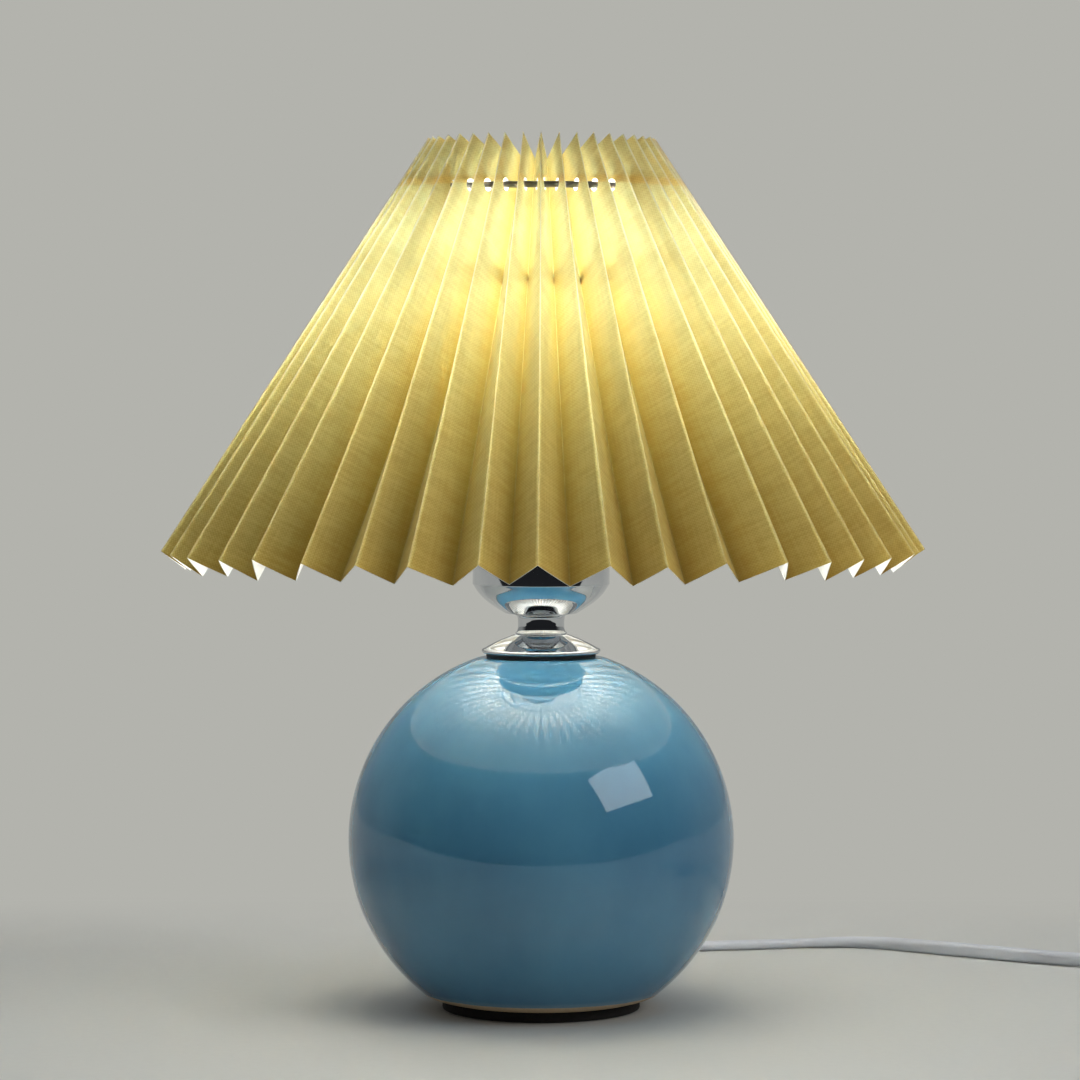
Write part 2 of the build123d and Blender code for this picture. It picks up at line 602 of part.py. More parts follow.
def make_switch():
    place = Pos(SWITCH_X, SWITCH_Y, 0) * Rot(0, 0, SWITCH_TURN)
    inner_l = SWITCH_L - 2 * SWITCH_WALL
    inner_w = SWITCH_W - 2 * SWITCH_WALL
    split = SWITCH_LOWER_H
    top = SWITCH_LOWER_H + SWITCH_UPPER_H
    inside = extrude(Pos(0, 0, SWITCH_WALL) * RectangleRounded(
        inner_l, inner_w, SWITCH_CORNER - SWITCH_WALL), top - 2 * SWITCH_WALL)
    channel = Plane((0, 0, split), z_dir=(1, 0, 0)) * Cylinder(CORD_R + CORD_CLEAR, 2 * SWITCH_L)
    screw_x, screw_y = SCREW_SPOT[0] * SWITCH_L, SCREW_SPOT[1] * SWITCH_W
    spots = [(screw_x, screw_y), (-screw_x, -screw_y)]
    boss = Pos(0, 0, top / 2) * Cylinder(BOSS_SHARE * SCREW_R, top - 2 * SWITCH_WALL)
    shaft = Pos(0, 0, top / 2) * Cylinder(SCREW_R + CORE_CLEAR, top - 2 * SWITCH_WALL)
    head_hole = Cylinder(HEAD_SHARE * SCREW_R, 2 * SWITCH_WALL)
    case = switch_box(SWITCH_L, SWITCH_W, 0, top) - inside - channel
    for x, y in spots:
        case += Pos(x, y, 0) * boss
        case -= Pos(x, y, 0) * shaft
        case -= Pos(x, y, 0) * head_hole
    rib_y = ROCKER_W / 2 + ROCKER_CLEAR + PIVOT_RIB / 2
    for side in (-1, 1):
        rib = Box(4 * PIVOT_R, PIVOT_RIB, top - SWITCH_WALL - PIVOT_Z + 2 * PIVOT_R)
        case += Pos(0, side * rib_y, (top - SWITCH_WALL + PIVOT_Z - 2 * PIVOT_R) / 2) * rib
    pivot_l = 2 * rib_y + PIVOT_RIB - 2 * PIVOT_END
    across = Plane((0, 0, PIVOT_Z), z_dir=(0, 1, 0))
    case -= across * Cylinder(PIVOT_R + PIVOT_FIT, pivot_l + PIVOT_END)
    window = RectangleRounded(ROCKER_L + 2 * ROCKER_CLEAR, ROCKER_W + 2 * ROCKER_CLEAR,
                              WINDOW_CORNER)
    case -= extrude(Pos(0, 0, split) * window, top)
    half = Box(2 * SWITCH_L, 2 * SWITCH_W, split, align=(Align.CENTER, Align.CENTER, Align.MIN))
    save(place * (case & half), "switch_lower_case")
    save(place * (case - half), "switch_upper_case")
    save(place * (across * Cylinder(PIVOT_R, pivot_l)), "switch_pivot")

    reach = ROCKER_L / 2
    side_view = Polyline((-reach, -ROCKER_DEPTH), (reach, -ROCKER_DEPTH), (reach, ROCKER_RISE),
                         (0, ROCKER_RISE - ROCKER_DISH), (-reach, ROCKER_RISE), close=True)
    rocker = extrude(Plane.XZ * make_face(side_view), ROCKER_W / 2, both=True)
    rocker = fillet(rocker.edges().group_by(Axis.Z)[-1], ROCKER_EDGE)
    rocker -= Plane((0, 0, 0), z_dir=(0, 1, 0)) * Cylinder(PIVOT_R + PIVOT_FIT, 2 * ROCKER_W)
    save(place * Pos(0, 0, PIVOT_Z) * Rot(0, -ROCKER_TILT, 0) * rocker, "switch_rocker")

    sleeve = turned([(CORD_R + CORD_CLEAR, 0), (SWITCH_SLEEVE_R, 0),
                     (CORD_R + SLEEVE_TIP, SWITCH_SLEEVE_L), (CORD_R + CORD_CLEAR, SWITCH_SLEEVE_L)])
    sleeves = []
    for side in (-1, 1):
        root = Plane((side * SWITCH_L / 2, 0, split), z_dir=(side, 0, 0))
        sleeves.append(place * (root * sleeve))
    save(Compound(children=sleeves), "switch_sleeves")

    block_h = TERMINAL_SHARE * (top - 2 * SWITCH_WALL)
    block_x = SWITCH_L / 2 - CORD_GRIP - SWITCH_WALL - TERMINAL_SIZE
    blocks = []
    for side in (-1, 1):
        block = Box(TERMINAL_SIZE, TERMINAL_SIZE, block_h)
        blocks.append(place * Pos(side * block_x, 0, SWITCH_WALL + block_h / 2) * block)
    save(Compound(children=blocks), "switch_terminals")
    strip = Box(2 * block_x + SPRING_OVER, TERMINAL_SIZE - 2 * SCREW_SINK, SPRING_T)
    save(place * Pos(0, 0, SWITCH_WALL + block_h + SPRING_T / 2) * strip, "switch_spring")

    screw_top = top - 2 * SWITCH_WALL
    head_r = HEAD_SHARE * SCREW_R - CORE_CLEAR
    screw = turned([(0, HEAD_GAP), (head_r, HEAD_GAP), (head_r, SWITCH_WALL), (SCREW_R, SWITCH_WALL),
                    (SCREW_R, screw_top), (0, screw_top)])
    save(Compound(children=[place * Pos(x, y, 0) * screw for x, y in spots]), "switch_screws")


def make_free_cord():
    end = SWITCH_L / 2 - CORD_GRIP
    z = CORD_R
    lead = [(0, CORD_EXIT_Y, CORD_HOLE_Z), (0, CORD_EXIT_Y + 13, CORD_HOLE_Z),
            (4, CORD_EXIT_Y + 32, CORD_HOLE_Z - 7), (18, CORD_EXIT_Y + 51, z + 1.2),
            (38, 138.5, z), (63, 141.5, z), (98, 149, z), (130, 152, z), (158, 131, z),
            (186, 112, z), (212, 96, z), (226, 87.5, z + 2.4),
            switch_place(-0.8 * SWITCH_L, 0, SWITCH_AXIS_Z), switch_place(-end, 0, SWITCH_AXIS_Z)]
    cord_run(lead, "cord_lead")
    start_x = COIL_X + COIL_R_OUT
    link = [switch_place(end, 0, SWITCH_AXIS_Z), switch_place(0.94 * SWITCH_L, 0, SWITCH_AXIS_Z),
            (start_x, COIL_Y + 37, COIL_LOW_Z), (start_x, COIL_Y + 2 * CORD_R, COIL_LOW_Z)]
    cord_run(link, "cord_link")
    coil_end_x = PLUG_X - PLUG_SHIFT
    tail = [(coil_end_x, COIL_Y - 2 * CORD_R, COIL_HIGH_Z), (coil_end_x, COIL_Y - 16, COIL_HIGH_Z),
            (PLUG_X, COIL_Y - 29, PLUG_AXIS_Z), (PLUG_X, PLUG_Y, PLUG_AXIS_Z)]
    cord_run(tail, "cord_tail")


def coil_point(turns):
    """Middle of the cord after a number of turns: in, up a layer, and out again."""
    climb = turns - COIL_TURNS_LOW
    if climb <= 0:
        radius, height = COIL_R_OUT - COIL_PITCH * turns, COIL_LOW_Z
    elif climb < 0.5:
        radius = COIL_R_IN - COIL_PITCH * climb + 2 * COIL_PITCH * climb**2
        share = 2 * climb
        height = COIL_LOW_Z + COIL_PITCH * share**2 * (3 - 2 * share)
    else:
        radius, height = COIL_R_IN + COIL_PITCH * (climb - 0.5), COIL_HIGH_Z
    x, y, z = polar(radius, height, -2 * math.pi * turns)
    return Vector(COIL_X + x, COIL_Y + y, z)


def biarc(p, t, q, u):
    """Two arcs that join two points with a direction given at each."""
    v = q - p
    slack = 2 * (1 - t.dot(u))
    both = v.dot(t + u)
    reach = (math.sqrt(both**2 + slack * v.dot(v)) - both) / slack
    middle = (p + q + (t - u) * reach) * 0.5
    first = TangentArc(p, middle, tangent=t)
    second = TangentArc(middle, q, tangent=first.tangent_at(1))
    return [first, second]


def make_coil():
    total = COIL_TURNS_LOW + 0.5 + COIL_TURNS_HIGH
    count = round(4 * total)
    turns = [total * i / count for i in range(count + 1)]
    spots = [coil_point(t) for t in turns]
    step = 1e-4
    ways = [Vector(0, -1, 0)]
    for t in turns[1:-1]:
        ways.append((coil_point(t + step) - coil_point(t - step)).normalized())
    ways.append(Vector(0, -1, 0))
    lead = Vector(0, -2 * CORD_R, 0)
    edges = [Line(spots[0] - lead, spots[0])]
    for i in range(count):
        edges += biarc(spots[i], ways[i], spots[i + 1], ways[i + 1])
    edges.append(Line(spots[-1], spots[-1] + lead))
    path = Wire(edges)
    coil = rod(path, CORD_R)
    share = coil.volume / (math.pi * CORD_R**2 * path.length)
    fine = [path.position_at(i / 1500) for i in range(1501)]
    apart = int(1500 * 1.5 * math.pi * 2 * CORD_R / path.length)
    near = min((a - b).length for i, a in enumerate(fine) for b in fine[i + apart:])
    print("cord_coil length", round(path.length, 1), "volume share", round(share, 4))
    print("cord_coil least gap", round(near - 2 * CORD_R, 3))
    save(coil, "cord_coil")

    inner_x = COIL_X - math.sqrt((COIL_R_IN - CORD_R)**2 - (TIE_W / 2)**2) + 2 * TIE_GAP
    outer_x = COIL_X - COIL_R_OUT + COIL_PITCH / 2 - CORD_R - TIE_GAP
    low_z = COIL_LIFT - TIE_GAP
    high_z = COIL_HIGH_Z + CORD_R + TIE_GAP
    size_x = inner_x - outer_x
    size_z = high_z - low_z
    middle = Pos((inner_x + outer_x) / 2, COIL_Y, (low_z + high_z) / 2)
    tie = Box(size_x + 2 * TIE_T, TIE_W, size_z + 2 * TIE_T) - Box(size_x, 2 * TIE_W, size_z)
    save(middle * tie, "cord_tie")


def make_plug():
    rear = Plane((PLUG_X, PLUG_Y, PLUG_AXIS_Z), x_dir=(1, 0, 0), z_dir=(0, -1, 0))
    front = rear.offset(PLUG_L)
    waist = rear.offset(PLUG_WAIST[1] * PLUG_L)
    rear_w, rear_h = PLUG_REAR[0] * PLUG_W, PLUG_REAR[1] * PLUG_H
    body = loft([rear * RectangleRounded(rear_w, rear_h, PLUG_CORNER),
                 waist * RectangleRounded(PLUG_WAIST[0] * PLUG_W, PLUG_H, PLUG_CORNER),
                 front * RectangleRounded(PLUG_W, PLUG_H, PLUG_CORNER)], ruled=True)
    spots = [Pos(side * PIN_SPACING / 2, 0, 0) for side in (-1, 1)]
    root = PLUG_ROOT * PLUG_L
    align = (Align.CENTER, Align.CENTER, Align.MIN)
    holes = [front.offset(-root) * s * Cylinder(PIN_NECK_R, 2 * root, align=align) for s in spots]
    save(body - holes, "plug_body")
    pins = []
    for s in spots:
        shank = front.offset(PIN_NECK_L) * s * Cylinder(PIN_R, PIN_L - PIN_NECK_L, align=align)
        shank = fillet(shank.edges().sort_by(Axis.Y)[0], PIN_ROUND)
        neck = front.offset(-root) * s * Cylinder(PIN_NECK_R, root + PIN_NECK_L, align=align)
        pins.append(shank + neck)
    save(Compound(children=pins), "plug_pins")
    sleeve = turned([(CORD_R + CORD_CLEAR, 0), (PLUG_SLEEVE_R, 0),
                     (CORD_R + SLEEVE_TIP, PLUG_SLEEVE_L), (CORD_R + CORD_CLEAR, PLUG_SLEEVE_L)])
    save(Plane(rear.origin, z_dir=(0, 1, 0)) * sleeve, "plug_sleeve")


make_foot_pad()
make_ceramic_ball()
make_column()
make_tube_and_nut()
make_lampholder()
make_grip_ring()
make_shade()
make_frame()
make_bulb()
make_cord_entry()
make_switch()
make_free_cord()
make_coil()
make_plug()
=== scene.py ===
"""Ceramic table lamp with a pleated linen shade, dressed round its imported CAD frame."""

import json
import math
import random

import bpy
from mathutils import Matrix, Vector


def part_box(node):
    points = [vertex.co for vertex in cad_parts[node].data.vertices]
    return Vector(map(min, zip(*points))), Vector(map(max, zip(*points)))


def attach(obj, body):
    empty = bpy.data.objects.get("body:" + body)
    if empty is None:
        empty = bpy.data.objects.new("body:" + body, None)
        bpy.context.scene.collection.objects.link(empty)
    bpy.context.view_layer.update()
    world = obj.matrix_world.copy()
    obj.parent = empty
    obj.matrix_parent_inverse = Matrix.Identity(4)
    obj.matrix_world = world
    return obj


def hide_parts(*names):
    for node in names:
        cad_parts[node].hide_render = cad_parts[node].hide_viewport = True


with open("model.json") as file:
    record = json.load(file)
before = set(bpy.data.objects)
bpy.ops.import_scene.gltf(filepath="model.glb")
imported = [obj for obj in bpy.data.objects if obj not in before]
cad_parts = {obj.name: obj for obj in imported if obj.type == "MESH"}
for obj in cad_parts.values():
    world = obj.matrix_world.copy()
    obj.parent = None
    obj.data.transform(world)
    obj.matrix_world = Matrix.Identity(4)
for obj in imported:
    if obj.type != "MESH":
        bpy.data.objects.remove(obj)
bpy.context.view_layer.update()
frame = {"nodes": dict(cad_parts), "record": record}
nodes = frame["nodes"]
scene = bpy.context.scene

# Sizes in metres, the same as in the CAD source
BALL_R = 0.070
BALL_Z = 0.0613
BALL_WALL = 0.005
PAD_R = 0.0359
PAD_T = 0.0035
RIM_R = 0.0362
GLAZE_END_Z = 0.0061
MOUTH_R = 0.025
SEAT_R = 0.0224
SEAT_Z = 0.12762
CEILING_Z = 0.12212
TUBE_HOLE = 0.00525
GASKET_R = 0.0199
CAP_R = 0.0216
CAP_Z = 0.12912
NECK_R = 0.0093
NECK_Z = 0.13602
CUP_R = 0.0249
CUP_FLOOR_R = 0.0134
CUP_Z = 0.14352
CREASE_Z = 0.15422
CUP_TOP_Z = 0.17002
SHEET_T = 0.0008
PLEATS = 40
FACETS = 2 * PLEATS
STRIP_LENGTH = 1.304
STRIP_HEIGHT = 0.177
RING_Z = 0.2964
RING_R = 0.044
HOLE_R = 0.0023
GLASS_Z = 0.18982
GLASS_NECK_R = 0.0146
BULB_R = 0.030
BULB_Z = 0.24032
CORD_WIDE = 0.0055
CORD_THICK = 0.0036
CORD_EXIT = (0.0, 0.07737, 0.016)
SWITCH_PLACE = (0.277, 0.056, 0.0)
SWITCH_TURN = math.radians(-32.0)
SWITCH_SIZE = (0.058, 0.025)
SWITCH_SPLIT = 0.009
SWITCH_TOP = 0.016
PLUG_X = 0.33095
PLUG_Y = -0.083
PLUG_Z = 0.0068
PLUG_SIZE = (0.026, 0.035, 0.0136)


# Camera at the photograph's viewing angle

CAMERA_SPOT = (-0.0004, -1.412, 0.2258)
CAMERA_TILT = math.radians(2.26)

bpy.ops.object.select_all(action="DESELECT")
bpy.ops.object.camera_add(location=CAMERA_SPOT, rotation=(math.pi / 2 - CAMERA_TILT, 0, 0))
camera = bpy.context.active_object
camera.data.lens = 130
camera.data.sensor_width = 36
camera.data.clip_start = 0.05
camera.data.clip_end = 60
scene.camera = camera


# Cord: flat twin flex, one spline to the switch and one on to the plug

FLAT = math.radians(90)
ON_EDGE = 0.0
LYING = CORD_THICK / 2
STANDING = CORD_WIDE / 2

LEAD_ROUTE = [
    (0.0, 0.07737, 0.016, FLAT), (0.0, 0.09037, 0.016, FLAT), (0.004, 0.10937, 0.009, FLAT),
    (0.018, 0.12837, 0.0026, FLAT), (0.038, 0.1385, LYING, FLAT), (0.063, 0.1415, LYING, FLAT),
    (0.098, 0.149, LYING, FLAT), (0.130, 0.152, 0.0022, math.radians(45)),
    (0.158, 0.131, STANDING, math.radians(10)), (0.186, 0.112, STANDING, ON_EDGE),
    (0.212, 0.096, STANDING, math.radians(30)), (0.226, 0.0875, 0.00515, math.radians(70)),
    (0.23765, 0.08059, 0.009, FLAT), (0.2575, 0.06819, 0.009, FLAT),
]
LINK_ROUTE = [
    (0.2965, 0.04381, 0.009, FLAT), (0.32324, 0.02711, 0.009, math.radians(60)),
    (0.333, 0.009, 0.00395, math.radians(15)), (0.333, -0.0225, 0.00395, ON_EDGE),
]
TAIL_ROUTE = [
    (0.32995, -0.0335, 0.01005, ON_EDGE), (0.32995, -0.044, 0.01005, math.radians(20)),
    (0.33095, -0.057, PLUG_Z, math.radians(70)), (0.33095, -0.083, PLUG_Z, FLAT),
]
COIL_X = 0.291
COIL_Y = -0.028
COIL_R_OUT = 0.042
COIL_R_IN = 0.02065
COIL_PITCH = 0.0061
COIL_LOW_Z = 0.00395
COIL_TURNS_LOW = 3.5
COIL_CLIMB = 0.5
COIL_TURNS_HIGH = 3.0
COIL_STEPS = 16


def coil_spot(turns):
    """Middle of the cord after a number of turns: in, up a layer and out again."""
    climb = turns - COIL_TURNS_LOW
    radius = COIL_R_OUT - COIL_PITCH * turns
    height = COIL_LOW_Z
    if climb > COIL_CLIMB:
        radius = COIL_R_IN + COIL_PITCH * (climb - COIL_CLIMB)
        height = COIL_LOW_Z + COIL_PITCH
    elif climb > 0:
        share = climb / COIL_CLIMB
        radius = COIL_R_IN - COIL_PITCH * climb + 2 * COIL_PITCH * climb ** 2
        height = COIL_LOW_Z + COIL_PITCH * share ** 2 * (3 - 2 * share)
    angle = -2 * math.pi * turns
    x = COIL_X + radius * math.cos(angle)
    y = COIL_Y + radius * math.sin(angle)
    return (x, y, height, ON_EDGE)


def flat_flex(name, route):
    """Flat cord on one open spline; each route point is a place and a twist."""
    curve = bpy.data.curves.new(name, "CURVE")
    curve.dimensions = "3D"
    curve.twist_mode = "Z_UP"
    curve.bevel_depth = 1.0
    curve.extrude = (CORD_WIDE - CORD_THICK) / CORD_THICK
    curve.bevel_resolution = 5
    curve.resolution_u = 8
    curve.use_fill_caps = True
    spline = curve.splines.new("NURBS")
    spline.points.add(len(route) - 1)
    for point, (x, y, z, twist) in zip(spline.points, route):
        point.co = (x, y, z, 1)
        point.tilt = twist
        point.radius = CORD_THICK / 2
    spline.order_u = 3
    spline.use_endpoint_u = True
    piece = bpy.data.objects.new(name, curve)
    scene.collection.objects.link(piece)
    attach(piece, "base")
    return piece


coil_turns = COIL_TURNS_LOW + COIL_CLIMB + COIL_TURNS_HIGH
coil_count = round(coil_turns * COIL_STEPS)
coil_route = [coil_spot(coil_turns * i / coil_count) for i in range(coil_count + 1)]
lead_cord = flat_flex("cord_to_switch", LEAD_ROUTE)
plug_cord = flat_flex("cord_to_plug", LINK_ROUTE + coil_route + TAIL_ROUTE)
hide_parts("cord_lead")
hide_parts("cord_link", "cord_coil", "cord_tail")


# Tools of the workshop

def arc(middle_r, middle_z, radius, start, stop, steps):
    """Outline points on an arc; angles in degrees up from straight outward."""
    points = []
    for i in range(steps + 1):
        angle = math.radians(start + (stop - start) * i / steps)
        points.append((middle_r + radius * math.cos(angle), middle_z + radius * math.sin(angle)))
    return points


def eased(spots, steps=8):
    """Smooth outline through a few spots."""
    padded = [spots[0]] + spots + [spots[-1]]
    points = [spots[0]]
    for a, b, c, d in zip(padded, padded[1:], padded[2:], padded[3:]):
        for i in range(1, steps + 1):
            t = i / steps
            spot = []
            for p, q, r, s in zip(a, b, c, d):
                bend = 2 * p - 5 * q + 4 * r - s
                curl = 3 * q - 3 * r + s - p
                spot.append(0.5 * (2 * q + (r - p) * t + bend * t ** 2 + curl * t ** 3))
            points.append(tuple(spot))
    return points


def finish_mesh(piece, angle=30):
    """Place goes into the mesh, faces point outward, edges are smooth up to an angle."""
    bpy.ops.object.mode_set(mode="EDIT")
    bpy.ops.mesh.select_all(action="SELECT")
    bpy.ops.mesh.normals_make_consistent(inside=False)
    bpy.ops.object.mode_set(mode="OBJECT")
    bpy.ops.object.select_all(action="DESELECT")
    piece.select_set(True)
    bpy.context.view_layer.objects.active = piece
    bpy.ops.object.transform_apply(location=True, rotation=True, scale=True)
    bpy.ops.object.shade_smooth_by_angle(angle=math.radians(angle))


def named(name):
    """The primitive that was just added, with its name."""
    piece = bpy.context.active_object
    piece.name = name
    piece.data.name = name
    return piece


def turned(name, outline, sides=128, poles=False):
    """Lathe work: a ring is extruded and scaled along an outline of (radius, height)."""
    bpy.ops.object.select_all(action="DESELECT")
    radius, height = outline[0]
    bpy.ops.mesh.primitive_circle_add(vertices=sides, radius=radius, location=(0, 0, height))
    piece = named(name)
    bpy.ops.object.mode_set(mode="EDIT")
    bpy.ops.mesh.select_mode(type="VERT")
    bpy.ops.mesh.select_all(action="SELECT")
    for wider, higher in outline[1:]:
        move = {"value": (0, 0, higher - height)}
        bpy.ops.mesh.extrude_region_move(TRANSFORM_OT_translate=move)
        grow = wider / radius
        bpy.ops.transform.resize(value=(grow, grow, 1), center_override=(0, 0, higher))
        radius, height = wider, higher
    bpy.ops.mesh.select_all(action="DESELECT")
    bpy.ops.mesh.select_non_manifold()
    if poles:
        bpy.ops.mesh.edge_collapse()
    else:
        bpy.ops.mesh.bridge_edge_loops()
    finish_mesh(piece)
    return piece


def shaped(piece, kind, **settings):
    """A modifier, set and applied."""
    bpy.context.view_layer.objects.active = piece
    modifier = piece.modifiers.new(kind.lower(), kind)
    for key, value in settings.items():
        setattr(modifier, key, value)
    bpy.ops.object.modifier_apply(modifier=modifier.name)


def cut_away(piece, cutter, **settings):
    """The cutter's shape is taken out of a piece, and the cutter is thrown away."""
    shaped(piece, "BOOLEAN", operation="DIFFERENCE", solver="EXACT", object=cutter, **settings)
    bpy.data.objects.remove(cutter)


def pick_edges(piece, wanted):
    """Edit mode with those edges selected for which wanted(one end, other end) holds."""
    bpy.ops.object.mode_set(mode="OBJECT")
    mesh = piece.data
    for part in (mesh.vertices, mesh.edges, mesh.polygons):
        for item in part:
            item.select = False
    for edge in mesh.edges:
        first, second = (mesh.vertices[i].co for i in edge.vertices)
        edge.select = wanted(first, second)
    bpy.context.tool_settings.mesh_select_mode = (False, True, False)
    bpy.ops.object.mode_set(mode="EDIT")


def block(name, size, middle):
    """A block to start from, with its place already in its mesh."""
    bpy.ops.object.select_all(action="DESELECT")
    bpy.ops.mesh.primitive_cube_add(size=1, location=middle, scale=size)
    piece = named(name)
    bpy.ops.object.transform_apply(location=True, rotation=True, scale=True)
    return piece


# Shader sockets

class Socket:
    """A shader socket. Operators on it add Math nodes to its tree."""

    def __init__(self, tree, socket=None):
        self.tree = tree
        self.socket = socket

    def add(self, kind, settings=None, inputs=None, out=0):
        """Any node: its settings first, then the values or links of its sockets."""
        node = self.tree.nodes.new(kind)
        for key, value in (settings or {}).items():
            setattr(node, key, value)
        for key, value in (inputs or {}).items():
            if isinstance(value, Socket):
                self.tree.links.new(value.socket, node.inputs[key])
            else:
                node.inputs[key].default_value = value
        return Socket(self.tree, node.outputs[out] if node.outputs else None)

    def maths(self, operation, first, second=0.0):
        return self.add("ShaderNodeMath", {"operation": operation}, {0: first, 1: second})

    def __add__(self, other):
        return self.maths("ADD", self, other)

    def __radd__(self, other):
        return self.maths("ADD", other, self)

    def __sub__(self, other):
        return self.maths("SUBTRACT", self, other)

    def __rsub__(self, other):
        return self.maths("SUBTRACT", other, self)

    def __mul__(self, other):
        return self.maths("MULTIPLY", self, other)

    def __rmul__(self, other):
        return self.maths("MULTIPLY", other, self)

    def __pow__(self, other):
        return self.maths("POWER", self, other)

    def rise(self, start, stop):
        """0 below start, 1 above stop, smooth between; start above stop turns it round."""
        span = {"From Min": start, "From Max": stop}
        return self.add("ShaderNodeMapRange", {"interpolation_type": "SMOOTHSTEP"}, {"Value": self, **span})

    def blend(self, first, second):
        """A colour between two, by this value."""
        settings = {"data_type": "RGBA", "clamp_factor": True}
        return self.add("ShaderNodeMix", settings, {0: self, 6: first, 7: second}, 2)

    def noise(self, place, scale, detail=3.0, rough=0.5):
        inputs = {"Vector": place, "Scale": scale, "Detail": detail, "Roughness": rough}
        return self.add("ShaderNodeTexNoise", None, inputs, 0)

    def bump(self, height, depth, strength=1.0):
        return self.add("ShaderNodeBump", None, {"Height": height, "Distance": depth, "Strength": strength})

    def stretch(self, place, scale):
        """Coordinates scaled along each axis."""
        return self.add("ShaderNodeMapping", None, {"Vector": place, "Scale": scale})

    def own_place(self):
        """Coordinates in the piece's own frame."""
        return self.add("ShaderNodeTexCoord", None, None, "Object")

    def along(self, axis):
        """One part of a coordinate."""
        return self.add("ShaderNodeSeparateXYZ", None, {0: self}, axis)

    def between(self, first, second):
        """A shader between two, by this value."""
        return self.add("ShaderNodeMixShader", None, {0: self, 1: first, 2: second})


def paint(red, green, blue):
    """A colour as written on a colour chart, 0 to 255, for a shader."""
    linear = []
    for part in (red, green, blue):
        value = part / 255
        linear.append(value / 12.92 if value <= 0.04045 else ((value + 0.055) / 1.055) ** 2.4)
    return (*linear, 1.0)


def new_material(name):
    """An empty material, and a socket to start its nodes from."""
    material = bpy.data.materials.new(name)
    material.use_nodes = True
    material.node_tree.nodes.clear()
    return material, Socket(material.node_tree)


def surface(start, shader):
    start.add("ShaderNodeOutputMaterial", None, {"Surface": shader})


def principled(start, **inputs):
    """A Principled shader; underscores stand for the spaces in its socket names."""
    return start.add("ShaderNodeBsdfPrincipled", None, {k.replace("_", " "): v for k, v in inputs.items()})


def glaze_finish():
    """Glossy sky-blue glaze that stops at a bare clay line above the foot."""
    material, start = new_material("glaze")
    place = start.own_place()
    height = place.along("Z")
    cloud = start.noise(place, 22.0, 4.0, 0.55)
    pool = start.noise(start.stretch(place, (1, 1, 0.35)), 55.0, 3.0)
    tone = (cloud * 0.6 + pool * 0.4).rise(0.32, 0.68)
    blue = tone.blend(paint(67, 119, 152), paint(77, 132, 164))
    speck = start.noise(place, 1400.0, 1.0).rise(0.70, 0.78)
    blue = (speck * 0.18).blend(blue, paint(70, 112, 140))
    edge = GLAZE_END_Z + start.noise(place, 120.0, 2.0) * 0.0005
    thin = (height - edge).rise(0.0022, 0.0)
    blue = (thin * 0.35).blend(blue, paint(150, 186, 198))
    bare = (height - edge).rise(0.00015, -0.00015)
    clay = start.noise(place, 900.0, 4.0).blend(paint(186, 158, 122), paint(214, 190, 156))
    colour = bare.blend(blue, clay)
    rough = bare * 0.6 + (0.022 + cloud * 0.026)
    ripple = start.bump(start.noise(place, 95.0, 2.0), 0.00005, 0.16)
    surface(start, principled(start, Base_Color=colour, Roughness=rough, IOR=1.55, Normal=ripple))
    return material


def foam_finish():
    """Black foam pad with a fine open grain."""
    material, start = new_material("pad")
    place = start.own_place()
    cells = start.add("ShaderNodeTexVoronoi", None, {"Vector": place, "Scale": 1500.0}, "Distance")
    dust = start.noise(place, 260.0, 4.0)
    colour = dust.blend(paint(16, 15, 15), paint(42, 40, 38))
    bump = start.bump(cells, 0.0002, 0.6)
    surface(start, principled(start, Base_Color=colour, Roughness=0.86, Normal=bump))
    return material


def polished(name, colour, dark, rough, spread, swirl):
    """Plated or polished metal with faint lathe lines round the lamp's axis."""
    material, start = new_material(name)
    place = start.own_place()
    lines = start.noise(start.stretch(place, (30, 30, 4200)), 1.0, 2.0)
    film = start.noise(place, 70.0, 4.0)
    tone = film.rise(0.3, 0.75).blend(colour, dark)
    dull = rough + spread * film * lines
    bump = start.bump(lines, 0.00002, swirl)
    surface(start, principled(start, Base_Color=tone, Metallic=1.0, Roughness=dull, Normal=bump))
    return material


def moulded(name, colour, dark, rough, grain, depth):
    """Moulded plastic or rubber: a little uneven in tone, with a fine grain."""
    material, start = new_material(name)
    place = start.own_place()
    blotch = start.noise(place, 60.0, 4.0).rise(0.3, 0.75)
    fine = start.noise(place, 1 / grain, 2.0)
    tone = blotch.blend(colour, dark)
    dull = rough + (fine - 0.5) * 0.12
    bump = start.bump(fine, depth, 0.5)
    surface(start, principled(start, Base_Color=tone, Roughness=dull, Normal=bump))
    return material


THREAD_U = 0.00062
THREAD_V = 0.00058
RING_TOUCH = 0.698 * STRIP_HEIGHT
RING_LINE = 0.1548
RING_LINE_IN = 0.1651


def strip_place(start):
    """Metres along the flat strip and up it, from the piece's own map."""
    flat = start.add("ShaderNodeUVMap", {"uv_map": "UVMap"})
    split = start.add("ShaderNodeSeparateXYZ", None, {0: flat}).socket.node
    along = Socket(start.tree, split.outputs[0]) * STRIP_LENGTH
    up = Socket(start.tree, split.outputs[1]) * STRIP_HEIGHT
    return along, up


def cloth_spot(start, along, up, wide, tall):
    """Texture place with cells of the given width and height in metres."""
    return start.add("ShaderNodeCombineXYZ", None, {0: along * (1 / wide), 1: up * (1 / tall)})


